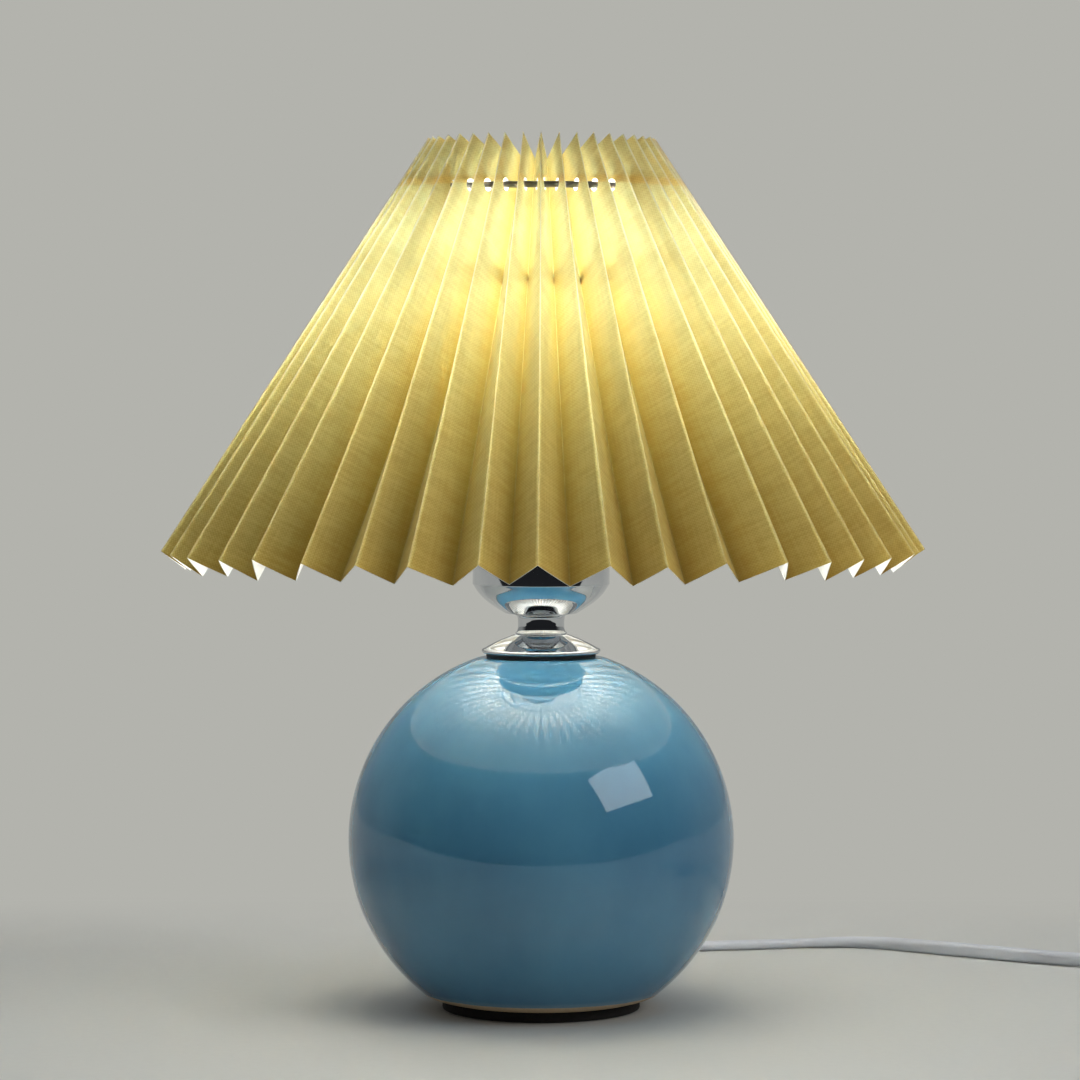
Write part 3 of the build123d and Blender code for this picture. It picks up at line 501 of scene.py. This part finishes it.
def linen_finish():
    """Mustard slub linen that glows with the light behind it; the shade in its valleys, the rings' shadows
    and a brighter glow higher up are painted in.
    """
    material, start = new_material("linen")
    along, up = strip_place(start)
    weft = start.noise(cloth_spot(start, along, up, 0.010, 0.0011), 1.0, 3.0, 0.6)
    warp = start.noise(cloth_spot(start, along, up, 0.0009, 0.020), 1.0, 3.0, 0.6)
    patch = start.noise(cloth_spot(start, along, up, 0.05, 0.04), 1.0, 3.0)
    over = start.maths("SINE", along * (math.pi / THREAD_U))
    under = start.maths("SINE", up * (math.pi / THREAD_V))
    weave = (over * under) * 0.5 + 0.5
    mottle = start.noise(cloth_spot(start, along, up, 0.011, 0.005), 1.0, 3.0)
    streak = weft * 0.36 + warp * 0.26 + mottle * 0.24 + weave * 0.14
    slub = streak.rise(0.38, 0.62)
    column = along * (FACETS / STRIP_LENGTH)
    inward = column.maths("PINGPONG", column, 1.0)
    # Painted glow: the cloth lets more light through higher up, nearer the bulb.
    height = up.rise(0.0, 0.85 * STRIP_HEIGHT)
    # Pale fold lines: partly wear, partly a painted highlight that grows paler higher up.
    paler = up.rise(0.30 * STRIP_HEIGHT, 0.75 * STRIP_HEIGHT)
    crease = inward.rise(0.055, 0.015) * (0.22 + 0.78 * paler)
    # Painted shade: the cloth darkens towards each valley fold.
    depth = inward ** 1.6
    # Painted shadow where the support ring touches the valley folds.
    from_ring = start.maths("ABSOLUTE", up - RING_TOUCH)
    ring_touch_shadow = inward.rise(0.86, 0.98) * from_ring.rise(0.0024, 0.0004)
    ring_line = up - (RING_LINE + (RING_LINE_IN - RING_LINE) * inward)
    shadow = ring_line.rise(0.0002, 0.0016) * ring_line.rise(0.0052, 0.0030)
    shadow = shadow * inward.rise(0.85, 0.45)
    worn = start.noise(cloth_spot(start, along, up, 0.02, 0.012), 1.0, 3.0).rise(0.3, 0.7)
    cloth = slub.blend(paint(224, 165, 55), paint(252, 203, 94))
    cloth = (patch * 0.22).blend(cloth, paint(200, 166, 84))
    # Painted shade deepening into the valleys.
    cloth = (depth * 0.72).blend(cloth, paint(124, 86, 26))
    # Fold lines worn pale, and paler still higher up as a painted highlight.
    cloth = (crease * (worn * 0.6 + 0.25)).blend(cloth, paint(228, 216, 194))
    bump = start.bump(streak, 0.00025, 0.55)
    front = principled(start, Base_Color=cloth, Roughness=0.88, Sheen_Weight=0.15, Normal=bump)
    # Transmitted colour: pale and open high up and on the lit valley lines, dark and dense low down and in
    # the valleys; the slub is the weave's own, the rest is painted glow and shade.
    open_weave_and_glow = start.add("ShaderNodeBsdfTranslucent", None, {"Color": paint(226, 255, 212)})
    dense_weave_and_shade = start.add("ShaderNodeBsdfTranslucent", None, {"Color": paint(171, 150, 38)})
    lit_valley = inward.rise(0.965, 0.99) * 0.5
    weave_and_shade = 1 - (0.36 + 0.48 * height ** 4) * (0.70 + 0.30 * slub) * (1 - 0.82 * depth + lit_valley)
    back = weave_and_shade.between(open_weave_and_glow, dense_weave_and_shade)
    # Painted glow: the fold lines let through a paler, brighter light.
    fold_glow = start.add("ShaderNodeBsdfTranslucent", None, {"Color": paint(255, 250, 240)})
    back = (crease * 0.8).between(back, fold_glow)
    # Painted shade and glow in how much light comes through: more along the folds, less where the rings
    # touch and shadow the cloth, less low in the valleys.
    share = (1 + 0.7 * crease) * 0.385 * (1 - 0.75 * ring_touch_shadow) * (1 - 0.42 * shadow)
    share = share * (1 - 0.32 * depth * (1 - height))
    surface(start, share.between(front, back))
    return material


def backing_finish():
    """White film and paper behind the linen."""
    material, start = new_material("backing")
    along, up = strip_place(start)
    fibre = start.noise(cloth_spot(start, along, up, 0.004, 0.003), 1.0, 4.0, 0.6)
    column = along * (FACETS / STRIP_LENGTH)
    inward = column.maths("PINGPONG", column, 1.0)
    # Painted glow: more light passes near the mountain folds.
    edge = inward.rise(0.09, 0.02)
    shade = fibre.rise(0.3, 0.7).blend(paint(228, 227, 221), paint(244, 244, 240))
    # Painted shade: darker in the folds and low down, where less light reaches, but white again at the
    # lower rim
    deep = inward.rise(0.85, 0.30) * up.rise(0.004, 0.012)
    shade = (deep * 0.7).blend(shade, paint(92, 88, 76))
    unlit = up.rise(0.125, 0.02) * up.rise(0.001, 0.005)
    shade = (unlit * 0.36).blend(shade, paint(96, 94, 86))
    bump = start.bump(fibre, 0.0001, 0.3)
    front = principled(start, Base_Color=shade, Roughness=0.6, Normal=bump)
    back = start.add("ShaderNodeBsdfTranslucent", None, {"Color": paint(240, 239, 232)})
    surface(start, (0.26 + 0.5 * edge).between(front, back))
    return material


GLOW_LOW_Z = 0.226
GLOW_FULL_Z = 0.246
PIN_SLEEVE_END = (-0.1285, -0.1282)


def opal_finish():
    """Opal glass, lit from inside, brightest on its dome."""
    material, start = new_material("opal")
    place = start.own_place()
    haze = start.noise(place, 45.0, 3.0)
    height = place.along("Z")
    glow = haze.blend((0.96, 0.98, 0.96, 1.0), (0.98, 1.0, 1.0, 1.0))
    glow = height.rise(GLOW_LOW_Z, GLOW_FULL_Z).blend((0.06, 0.06, 0.06, 1.0), glow)
    glass = (0.9, 0.9, 0.88, 1.0)
    lit = principled(start, Base_Color=glass, Roughness=0.22, Emission_Color=glow, Emission_Strength=3.0)
    surface(start, lit)
    return material


def pin_finish():
    """Nickel pins with a moulded sleeve on the half next to the plug."""
    material, start = new_material("pins")
    place = start.own_place()
    reach = place.along("Y")
    sleeve = reach.rise(*PIN_SLEEVE_END)
    film = start.noise(place, 300.0, 4.0)
    metal = film.blend(paint(196, 190, 180), paint(222, 218, 210))
    colour = sleeve.blend(metal, paint(232, 232, 228))
    rough = sleeve * 0.25 + (0.18 + film * 0.12)
    surface(start, principled(start, Base_Color=colour, Metallic=1 - sleeve, Roughness=rough))
    return material


def strap_finish():
    """Woven hook-and-loop strap."""
    material, start = new_material("tie")
    place = start.own_place()
    loops = start.add("ShaderNodeTexVoronoi", None, {"Vector": place, "Scale": 1700.0}, "Distance")
    shade = loops.rise(0.0, 0.6).blend(paint(38, 38, 40), paint(72, 72, 76))
    bump = start.bump(loops, 0.0003, 0.9)
    surface(start, principled(start, Base_Color=shade, Roughness=0.9, Sheen_Weight=0.3, Normal=bump))
    return material


finish = {
    "glaze": glaze_finish(),
    "pad": foam_finish(),
    "chrome": polished("chrome", paint(214, 217, 221), paint(200, 204, 209), 0.03, 0.04, 0.02),
    "steel": polished("steel", paint(178, 180, 182), paint(140, 141, 143), 0.25, 0.25, 0.4),
    "alu": polished("aluminium", paint(205, 206, 208), paint(178, 180, 182), 0.26, 0.2, 0.5),
    "brass": polished("brass", paint(214, 180, 106), paint(184, 146, 78), 0.22, 0.2, 0.4),
    "wire": moulded("dark_wire", paint(88, 84, 78), paint(118, 113, 105), 0.42, 0.0007, 0.00005),
    "gasket": moulded("gasket", paint(34, 34, 36), paint(52, 52, 54), 0.7, 0.0008, 0.00008),
    "holder": moulded("black_moulding", paint(24, 24, 25), paint(36, 36, 38), 0.38, 0.0006, 0.00005),
    "core": moulded("porcelain_core", paint(226, 222, 212), paint(206, 202, 192), 0.4, 0.0008, 0.00005),
    "cord": moulded("cord_sheath", paint(208, 210, 217), paint(196, 198, 206), 0.36, 0.0011, 0.00006),
    "white": moulded("white_moulding", paint(236, 236, 233), paint(224, 224, 220), 0.34, 0.0005, 0.00003),
    "live": moulded("live_core", paint(96, 58, 32), paint(78, 46, 26), 0.45, 0.0008, 0.00004),
    "neutral": moulded("neutral_core", paint(42, 92, 168), paint(34, 76, 142), 0.45, 0.0008, 0.00004),
    "clear_glass": moulded("stem_glass", paint(214, 220, 222), paint(196, 202, 206), 0.12, 0.003, 0.00002),
    "filament": moulded("light_stick", paint(244, 226, 150), paint(232, 208, 120), 0.5, 0.001, 0.00004),
    "black_glass": moulded("black_insulator", paint(20, 20, 22), paint(34, 34, 36), 0.18, 0.002, 0.00003),
    "linen": linen_finish(),
    "backing": backing_finish(),
    "opal": opal_finish(),
    "nickel": pin_finish(),
    "tie": strap_finish(),
}


def dress(piece, body, slot, *replaced):
    """A new piece gets its material, rides on its body and stands for its CAD nodes."""
    piece.data.materials.clear()
    piece.data.materials.append(finish[slot])
    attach(piece, body)
    if replaced:
        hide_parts(*replaced)
    return piece


# Foot pad and ball

PAD_EDGE = 0.0005
PAD_POLE_R = 0.0015
pad_outline = [(PAD_POLE_R, 0), (PAD_R - PAD_EDGE, 0), (PAD_R - 0.3 * PAD_EDGE, 0.3 * PAD_EDGE)]
pad_outline += [(PAD_R, PAD_EDGE), (PAD_R, PAD_T - PAD_EDGE), (PAD_R - PAD_EDGE, PAD_T)]
pad_outline += [(PAD_POLE_R, PAD_T)]
dress(turned("foam_pad", pad_outline, 96, True), "base", "pad", "foot_pad")

FOOT_TOP_Z = 0.0066
low_angle = math.degrees(math.asin((FOOT_TOP_Z - BALL_Z) / BALL_R))
high_angle = math.degrees(math.asin((SEAT_Z - BALL_Z) / BALL_R))
hollow_r = BALL_R - BALL_WALL
ceiling_angle = math.degrees(math.asin((CEILING_Z - BALL_Z) / hollow_r))
floor_z = PAD_T + BALL_WALL
floor_angle = math.degrees(math.asin((floor_z - BALL_Z) / hollow_r))
ball_outline = eased([(RIM_R - 0.0003, PAD_T), (RIM_R + 0.0006, 0.0037), (0.0388, 0.0042), (0.0408, 0.0048),
                      (0.0427, 0.0057)], 4)
ball_outline += arc(0, BALL_Z, BALL_R, low_angle, high_angle - 0.5, 84)
ball_outline += [(SEAT_R - 0.0008, SEAT_Z), (TUBE_HOLE, SEAT_Z), (TUBE_HOLE, CEILING_Z)]
ball_outline += arc(0, BALL_Z, hollow_r, ceiling_angle, floor_angle, 40)
ball_outline += [(MOUTH_R, floor_z), (MOUTH_R, PAD_T)]
dress(turned("glazed_ball", ball_outline, 144), "base", "glaze", "ceramic_ball")


# Chrome column on its gasket

GASKET_EDGE = 0.0003
gasket_outline = [(TUBE_HOLE, SEAT_Z), (GASKET_R - GASKET_EDGE, SEAT_Z), (GASKET_R, SEAT_Z + GASKET_EDGE)]
gasket_outline += [(GASKET_R, CAP_Z - GASKET_EDGE), (GASKET_R - GASKET_EDGE, CAP_Z), (TUBE_HOLE, CAP_Z)]
dress(turned("soft_gasket", gasket_outline, 96), "base", "gasket", "cap_gasket")

LIP_R = 0.00085
cap_outline = [(CAP_R - 0.0024, CAP_Z), (CAP_R - LIP_R, CAP_Z)]
cap_outline += arc(CAP_R - LIP_R, CAP_Z + LIP_R, LIP_R, -75, 70, 10)
cap_outline += eased([(0.0203, 0.13105), (0.0186, 0.13202), (0.0163, 0.13318), (0.0141, 0.13416),
                      (0.0119, 0.13502), (0.01055, 0.13556), (0.00975, 0.13585), (NECK_R, NECK_Z)], 5)
cap_outline += [(TUBE_HOLE, NECK_Z), (TUBE_HOLE, NECK_Z - SHEET_T), (NECK_R, NECK_Z - 2 * SHEET_T),
                (0.0130, 0.13291), (0.0192, 0.12962)]
dress(turned("spun_cap", cap_outline), "base", "chrome", "vase_cap")

BEAD = 0.0004
neck_outline = [(TUBE_HOLE, NECK_Z), (NECK_R - BEAD, NECK_Z)]
neck_outline += arc(NECK_R - BEAD, NECK_Z + BEAD, BEAD, -70, 60, 5)
neck_outline += eased([(0.00895, 0.13668), (0.00862, 0.13745), (0.00848, 0.13870), (0.00846, 0.13977),
                       (0.00848, 0.14084), (0.00862, 0.14209), (0.00895, 0.14286)], 6)
neck_outline += arc(NECK_R - BEAD, CUP_Z - BEAD, BEAD, -60, 70, 5)
neck_outline += [(NECK_R - BEAD, CUP_Z), (TUBE_HOLE, CUP_Z)]
dress(turned("waisted_spacer", neck_outline, 96), "base", "chrome", "neck_spacer")

CREASE_R = 0.0004
cup_outline = [(TUBE_HOLE, CUP_Z)]
cup_outline += eased([(0.0126, CUP_Z), (CUP_FLOOR_R, CUP_Z + 0.00025), (0.0170, 0.14602),
                      (0.0202, 0.14838), (0.0228, 0.15105), (0.0246, 0.15385)], 8)
cup_outline += arc(CUP_R - CREASE_R, CREASE_Z + 0.0002, CREASE_R, -35, 0, 3)
cup_outline += [(CUP_R, 0.1600), (CUP_R, CUP_TOP_Z - SHEET_T / 2)]
cup_outline += arc(CUP_R - SHEET_T / 2, CUP_TOP_Z - SHEET_T / 2, SHEET_T / 2, 0, 180, 8)
cup_outline += [(CUP_R - SHEET_T, CREASE_Z + 0.0003), (0.0220, 0.15165), (0.0194, 0.14898)]
cup_outline += [(0.0162, 0.14662), (CUP_FLOOR_R - 0.0003, CUP_Z + SHEET_T)]
cup_outline += [(TUBE_HOLE, CUP_Z + SHEET_T)]
dress(turned("spun_cup", cup_outline), "base", "chrome", "socket_cup")


# Bulb

POLE_R = 0.0012
globe = [(POLE_R, GLASS_Z), (GLASS_NECK_R - 0.0006, GLASS_Z)]
globe += eased([(GLASS_NECK_R, GLASS_Z + 0.0006), (0.0158, 0.1965), (0.0186, 0.2060),
                (0.0233, 0.2175), (0.0276, 0.2284), (0.02955, 0.2352)], 7)
globe += arc(0, BULB_Z, BULB_R, -6, 87, 36) + [(POLE_R, BULB_Z + BULB_R)]
dress(turned("opal_globe", globe, 96, True), "bulb", "opal", "bulb_globe")


# Pleated shade: a flat strip is cut as a grid, then folded

MOUNTAIN_TOP = (0.0410, 0.3150)
MOUNTAIN_LOW = (0.1380, 0.1668)
VALLEY_TOP = (0.0275, 0.3062)
VALLEY_LOW = (0.1275, 0.1599)
FACET_STEPS = 4
STRIP_ROWS = 30
CLOTH_T = 0.00025
SWAY = 0.13 * math.pi / PLEATS
WANDER = 0.0012
SLIP = 0.0006
BOW = 0.0007

# No fold is quite like the next: each is a little off in angle, radius and height, and bows
chance = random.Random(11)
sway = [chance.uniform(-1, 1) * SWAY for k in range(FACETS)]
wander = [chance.uniform(-1, 1) * WANDER for k in range(FACETS)]
slip = [chance.uniform(-1, 1) * SLIP for k in range(FACETS)]
bow = [chance.uniform(-0.2, 1) * BOW for k in range(FACETS)]


def fold_line(k, drop):
    """A spot on fold number k, by its share of the way down."""
    (r0, z0), (r1, z1) = (VALLEY_TOP, VALLEY_LOW) if k % 2 else (MOUNTAIN_TOP, MOUNTAIN_LOW)
    loose = 0.15 + 0.85 * drop
    angle = k * math.pi / PLEATS + sway[k] * loose
    radius = r0 + (r1 - r0) * drop + wander[k] * loose
    height = z0 + (z1 - z0) * drop + slip[k] * loose
    return Vector((radius * math.cos(angle), radius * math.sin(angle), height))


def folded(u, v):
    """Where a spot of the flat strip lies once it is pleated."""
    column = round(u * FACETS * FACET_STEPS)
    k = min(column // FACET_STEPS, FACETS - 1)
    t = column / FACET_STEPS - k
    drop = 1 - v
    spot = fold_line(k, drop).lerp(fold_line((k + 1) % FACETS, drop), t)
    outward = Vector((spot.x, spot.y, 0)).normalized()
    return spot + outward * bow[k] * 4 * t * (1 - t) * math.sin(math.pi * (0.15 + 0.7 * drop))


bpy.ops.object.select_all(action="DESELECT")
bpy.ops.mesh.primitive_grid_add(x_subdivisions=FACETS * FACET_STEPS, y_subdivisions=STRIP_ROWS, size=1)
shade = named("linen_shade")
for vertex in shade.data.vertices:
    vertex.co = folded(vertex.co.x + 0.5, vertex.co.y + 0.5)
bpy.ops.object.mode_set(mode="EDIT")
bpy.ops.mesh.select_all(action="SELECT")
bpy.ops.mesh.remove_doubles(threshold=0.00001)
bpy.ops.mesh.normals_make_consistent(inside=False)
bpy.ops.object.mode_set(mode="OBJECT")
shade.data.materials.append(finish["linen"])
shade.data.materials.append(finish["backing"])
shaped(shade, "SOLIDIFY", thickness=CLOTH_T, offset=-1, material_offset=1, material_offset_rim=1)
bpy.ops.mesh.primitive_torus_add(major_radius=RING_R, minor_radius=HOLE_R, location=(0, 0, RING_Z),
                                 major_segments=200, minor_segments=14)
punch = named("punch")
punch.data.materials.append(finish["backing"])
cut_away(shade, punch, material_mode="TRANSFER")
bpy.ops.object.select_all(action="DESELECT")
shade.select_set(True)
bpy.context.view_layer.objects.active = shade
bpy.ops.object.shade_smooth_by_angle(angle=math.radians(12))
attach(shade, "shade")
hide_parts("pleated_shade")


# Strain reliefs, each with its length, root radius, tip radius and number of ribs

BUSH_ROOT_Y = 0.0505
BUSHING = (CORD_EXIT[1] - BUSH_ROOT_Y, 0.0052, 0.0039, 6)
SWITCH_SLEEVE = (0.0106, 0.0052, 0.0037, 3)
PLUG_SLEEVE = (0.0206, 0.0046, 0.0037, 6)
RELIEF_POLE_R = 0.0008
RIB_DEPTH = 0.0006
SUNK = 0.0006


def ribbed(name, length, root_r, tip_r, ribs, place, turn, *replaced):
    """Tapered sleeve with grooves; its root is at place and its own +Z is turned along the cord."""
    outline = [(RELIEF_POLE_R, 0), (root_r, 0), (root_r, 0.12 * length)]
    pitch = 0.8 * length / ribs
    for i in range(ribs):
        low = 0.14 * length + i * pitch
        wide = root_r + (tip_r - root_r) * (low + 0.4 * pitch) / length
        groove = wide - RIB_DEPTH
        outline += [(groove, low + 0.06 * pitch), (groove, low + 0.34 * pitch)]
        outline += [(wide, low + 0.42 * pitch), (wide, low + 0.98 * pitch)]
    outline += [(tip_r, 0.96 * length), (tip_r - 0.0003, length), (RELIEF_POLE_R, length)]
    piece = turned(name, outline, 48, True)
    piece.location = place
    piece.rotation_euler = turn
    bpy.ops.object.transform_apply(location=True, rotation=True, scale=True)
    return dress(piece, "base", "cord", *replaced)


ribbed("back_bushing", *BUSHING, (0, BUSH_ROOT_Y, CORD_EXIT[2]), (-math.pi / 2, 0, 0), "cord_bushing")
half_case = SWITCH_SIZE[0] / 2 - SUNK
along_case = Vector((math.cos(SWITCH_TURN), math.sin(SWITCH_TURN), 0))
case_axis = Vector((SWITCH_PLACE[0], SWITCH_PLACE[1], SWITCH_SPLIT))
sleeve_in = ribbed("switch_sleeve_in", *SWITCH_SLEEVE, case_axis - along_case * half_case,
                   (0, -math.pi / 2, SWITCH_TURN), "switch_sleeves")
sleeve_out = ribbed("switch_sleeve_out", *SWITCH_SLEEVE, case_axis + along_case * half_case,
                    (0, math.pi / 2, SWITCH_TURN), "switch_sleeves")
plug_sleeve = ribbed("plug_relief", *PLUG_SLEEVE, (PLUG_X, PLUG_Y - SUNK, PLUG_Z),
                     (-math.pi / 2, 0, 0), "plug_sleeve")


# Cord switch

CASE_CORNER = 0.007
CASE_EDGE_LOW = 0.0007
CASE_EDGE_HIGH = 0.0009
CASE_WINDOW = (0.0202, 0.0102, 0.02)
SEAM = 0.00012


def case_half(name, low, high, edge):
    """One half of the switch's case, rounded in plan, still in the switch's own directions."""
    piece = block(name, (*SWITCH_SIZE, high - low), (0, 0, (low + high) / 2))
    pick_edges(piece, lambda a, b: abs(a.z - b.z) > 0.001)
    bpy.ops.mesh.bevel(offset=CASE_CORNER, segments=8, affect="EDGES")
    bpy.ops.object.mode_set(mode="OBJECT")
    if high == SWITCH_TOP:
        window = block("window", CASE_WINDOW, (0, 0, high))
        cut_away(piece, window)
    shaped(piece, "BEVEL", width=edge, segments=4, limit_method="ANGLE", angle_limit=math.radians(50))
    piece.location = SWITCH_PLACE
    piece.rotation_euler = (0, 0, SWITCH_TURN)
    finish_mesh(piece, 35)
    return piece


case_low = case_half("case_bottom", 0.0, SWITCH_SPLIT - SEAM, CASE_EDGE_LOW)
dress(case_low, "base", "white", "switch_lower_case")
case_high = case_half("case_top", SWITCH_SPLIT + SEAM, SWITCH_TOP, CASE_EDGE_HIGH)
dress(case_high, "base", "white", "switch_upper_case")


# Plug, narrower at its rear, with grip grooves above and below

PLUG_EDGE = 0.0024
GROOVES = 4
GROOVE_SIZE = (0.0115, 0.0009, 0.0012)
GROOVE_START = 0.0045
GROOVE_PITCH = 0.0026
REAR_WIDE = 0.6
REAR_TALL = 0.8
plug = block("plug_moulding", PLUG_SIZE, (PLUG_X, PLUG_Y - PLUG_SIZE[1] / 2, PLUG_Z))
waist_y = PLUG_Y - 0.45 * PLUG_SIZE[1]
bpy.ops.object.mode_set(mode="EDIT")
bpy.ops.mesh.select_all(action="SELECT")
bpy.ops.mesh.bisect(plane_co=(PLUG_X, waist_y, PLUG_Z), plane_no=(0, 1, 0))
for spot_y, wide, tall in ((PLUG_Y, REAR_WIDE, REAR_TALL), (waist_y, 0.94, 1.0)):
    pick_edges(plug, lambda a, b: abs(a.y - spot_y) < 0.0001 and abs(b.y - spot_y) < 0.0001)
    bpy.ops.transform.resize(value=(wide, 1, tall), center_override=(PLUG_X, spot_y, PLUG_Z))
bpy.ops.object.mode_set(mode="OBJECT")
shaped(plug, "BEVEL", width=PLUG_EDGE, segments=5, limit_method="ANGLE", angle_limit=math.radians(25))
for i in range(GROOVES):
    spot_y = PLUG_Y - GROOVE_START - GROOVE_PITCH * i
    forward = (PLUG_Y - spot_y) / (PLUG_Y - waist_y)
    skin = (REAR_TALL + (1 - REAR_TALL) * forward) * PLUG_SIZE[2] / 2
    for side in (-1, 1):
        groove = block("groove", GROOVE_SIZE, (PLUG_X, spot_y, PLUG_Z + side * (skin + 0.0001)))
        cut_away(plug, groove)
finish_mesh(plug, 35)
dress(plug, "base", "white", "plug_body")


# Strap round the coil

STRAP_T = 0.0008
STRAP_W = 0.009
STRAP_CORNER = 0.0022
strap_low, strap_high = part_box("cord_tie")
strap_middle = (strap_low + strap_high) / 2
strap_size = strap_high - strap_low - Vector((STRAP_T, 0, STRAP_T))
strap = block("coil_strap", (strap_size.x, STRAP_W, strap_size.z), strap_middle)
pick_edges(strap, lambda a, b: abs(a.y - b.y) > 0.001)
bpy.ops.mesh.bevel(offset=STRAP_CORNER, segments=5, affect="EDGES")
bpy.ops.mesh.select_mode(type="FACE")
bpy.ops.mesh.select_all(action="DESELECT")
bpy.ops.object.mode_set(mode="OBJECT")
for face in strap.data.polygons:
    face.select = abs(face.normal.y) > 0.9
bpy.context.tool_settings.mesh_select_mode = (False, False, True)
bpy.ops.object.mode_set(mode="EDIT")
bpy.ops.mesh.delete(type="FACE")
bpy.ops.object.mode_set(mode="OBJECT")
finish_mesh(strap, 40)
shaped(strap, "SOLIDIFY", thickness=STRAP_T, offset=0)
dress(strap, "base", "tie", "cord_tie")


# Cords get their sheath finish

for cord in (lead_cord, plug_cord):
    cord.data.materials.append(finish["cord"])


# CAD nodes keep their shapes and get the same finishes

for part in frame["record"]["subparts"]:
    mesh = nodes[part["node"]].data
    mesh.materials.clear()
    mesh.materials.append(finish[part["material_slot"]])


# Floor, light and backdrop

FLOOR_R = 8.0
BACKDROP = paint(179, 179, 173)
DARK_ROOM = paint(34, 35, 37)
MIRROR_WALL = paint(146, 147, 144)
bpy.ops.object.select_all(action="DESELECT")
bpy.ops.mesh.primitive_circle_add(vertices=96, radius=FLOOR_R, fill_type="NGON", location=(0, 0, -0.0002))
floor = named("floor")
floor_material, start = new_material("floor")
place = start.own_place()
away = start.add("ShaderNodeVectorMath", {"operation": "LENGTH"}, {0: place}, "Value")
path = start.add("ShaderNodeLightPath").socket.node
seen = Socket(start.tree, path.outputs["Is Camera Ray"])
grain = start.noise(place, 300.0, 3.0)
tone = grain.blend(paint(201, 201, 197), paint(207, 207, 203))
matt = principled(start, Base_Color=tone, Roughness=0.6)
far = start.add("ShaderNodeEmission", None, {"Color": BACKDROP, "Strength": 1.0})
mirrored = Socket(start.tree, path.outputs["Is Glossy Ray"])
depth = place.along("Y")
fade = away.maths("MAXIMUM", away.rise(0.28, 0.55), depth.rise(0.10, 0.30))
shown = seen.maths("MAXIMUM", seen, mirrored)
near = (fade * shown).between(matt, far)
ahead = depth.rise(-0.42, -0.46)
dark = start.add("ShaderNodeEmission", None, {"Color": DARK_ROOM, "Strength": 1.0})
surface(start, (ahead * mirrored).between(near, dark))
floor.data.materials.append(floor_material)

world = bpy.data.worlds.new("studio")
scene.world = world
world.use_nodes = True
world.node_tree.nodes.clear()
sky = Socket(world.node_tree)
path = sky.add("ShaderNodeLightPath").socket.node
looked_at = Socket(sky.tree, path.outputs["Is Camera Ray"])
mirrored = Socket(sky.tree, path.outputs["Is Glossy Ray"])
through = Socket(sky.tree, path.outputs["Is Transmission Ray"])
toward = sky.add("ShaderNodeTexCoord", None, None, "Generated")
front = toward.along("Y")
dim = front.rise(0.45, -0.25)
ambient = sky.add("ShaderNodeBackground", None, {"Color": (0.94, 0.97, 1.0, 1.0), "Strength": 0.09})
plain = sky.add("ShaderNodeBackground", None, {"Color": BACKDROP, "Strength": 1.0})
behind = sky.add("ShaderNodeBackground", None, {"Color": MIRROR_WALL, "Strength": 1.0})
unlit = sky.add("ShaderNodeBackground", None, {"Color": DARK_ROOM, "Strength": 1.0})
mirror = dim.between(behind, unlit)
straight = looked_at.maths("MAXIMUM", looked_at, through)
around = straight.between(mirrored.between(ambient, mirror), plain)
sky.add("ShaderNodeOutputWorld", None, {"Surface": around})


def softbox(name, spot, aim, size, watts, colour, yaw=0.0, seen=True):
    """An area lamp at a spot, turned to an aim and then by a yaw, shown in mirrors or not, and never
    straight to the camera.
    """
    lamp = bpy.data.lights.new(name, "AREA")
    lamp.shape = "RECTANGLE" if seen else "ELLIPSE"
    lamp.size, lamp.size_y = size
    lamp.energy = watts
    lamp.color = colour
    holder = bpy.data.objects.new(name, lamp)
    holder.location = spot
    holder.visible_glossy = seen
    holder.visible_camera = False
    holder.rotation_euler = (Vector(aim) - Vector(spot)).to_track_quat("-Z", "Y").to_euler()
    holder.rotation_euler.z += yaw
    scene.collection.objects.link(holder)
    return holder


def lights_only(holder, *pieces):
    """A lamp that falls on these pieces alone."""
    group = bpy.data.collections.new(holder.name + "_falls_on")
    for piece in pieces:
        group.objects.link(piece)
    holder.light_linking.receiver_collection = group


WINDOW_YAW = math.radians(15)
softbox("window_light", (0.92, -0.66, 0.78), (0, 0, 0.08), (0.80, 0.52), 4.8, (0.95, 0.98, 1.0), WINDOW_YAW)
softbox("fill_light", (-1.3, -1.2, 1.5), (0, 0, 0.15), (1.6, 1.2), 3.1, (1.0, 0.99, 0.97), seen=False)
floor_light = softbox("floor_light", (0, 0, 1.6), (0, 0, 0), (2.4, 2.4), 15.0, (0.97, 1.0, 0.99),
                      seen=False)
on_floor = [lead_cord, plug_cord, case_low, case_high, sleeve_in, sleeve_out, plug, plug_sleeve, strap]
on_floor += [nodes["plug_pins"], nodes["switch_rocker"]]
lights_only(floor_light, floor, *on_floor)

bulb_light = bpy.data.lights.new("bulb_light", "POINT")
bulb_light.shadow_soft_size = BULB_R + 0.001
bulb_light.use_soft_falloff = False
bulb_light.energy = 7.8
bulb_light.color = (0.97, 1.0, 0.98)
lit_bulb = bpy.data.objects.new("bulb_light", bulb_light)
lit_bulb.location = (0, 0, BULB_Z)
lit_bulb.visible_glossy = False
lit_bulb.visible_camera = False
scene.collection.objects.link(lit_bulb)
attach(lit_bulb, "bulb")
lights_only(lit_bulb, shade)

scene.view_settings.view_transform = "Standard"
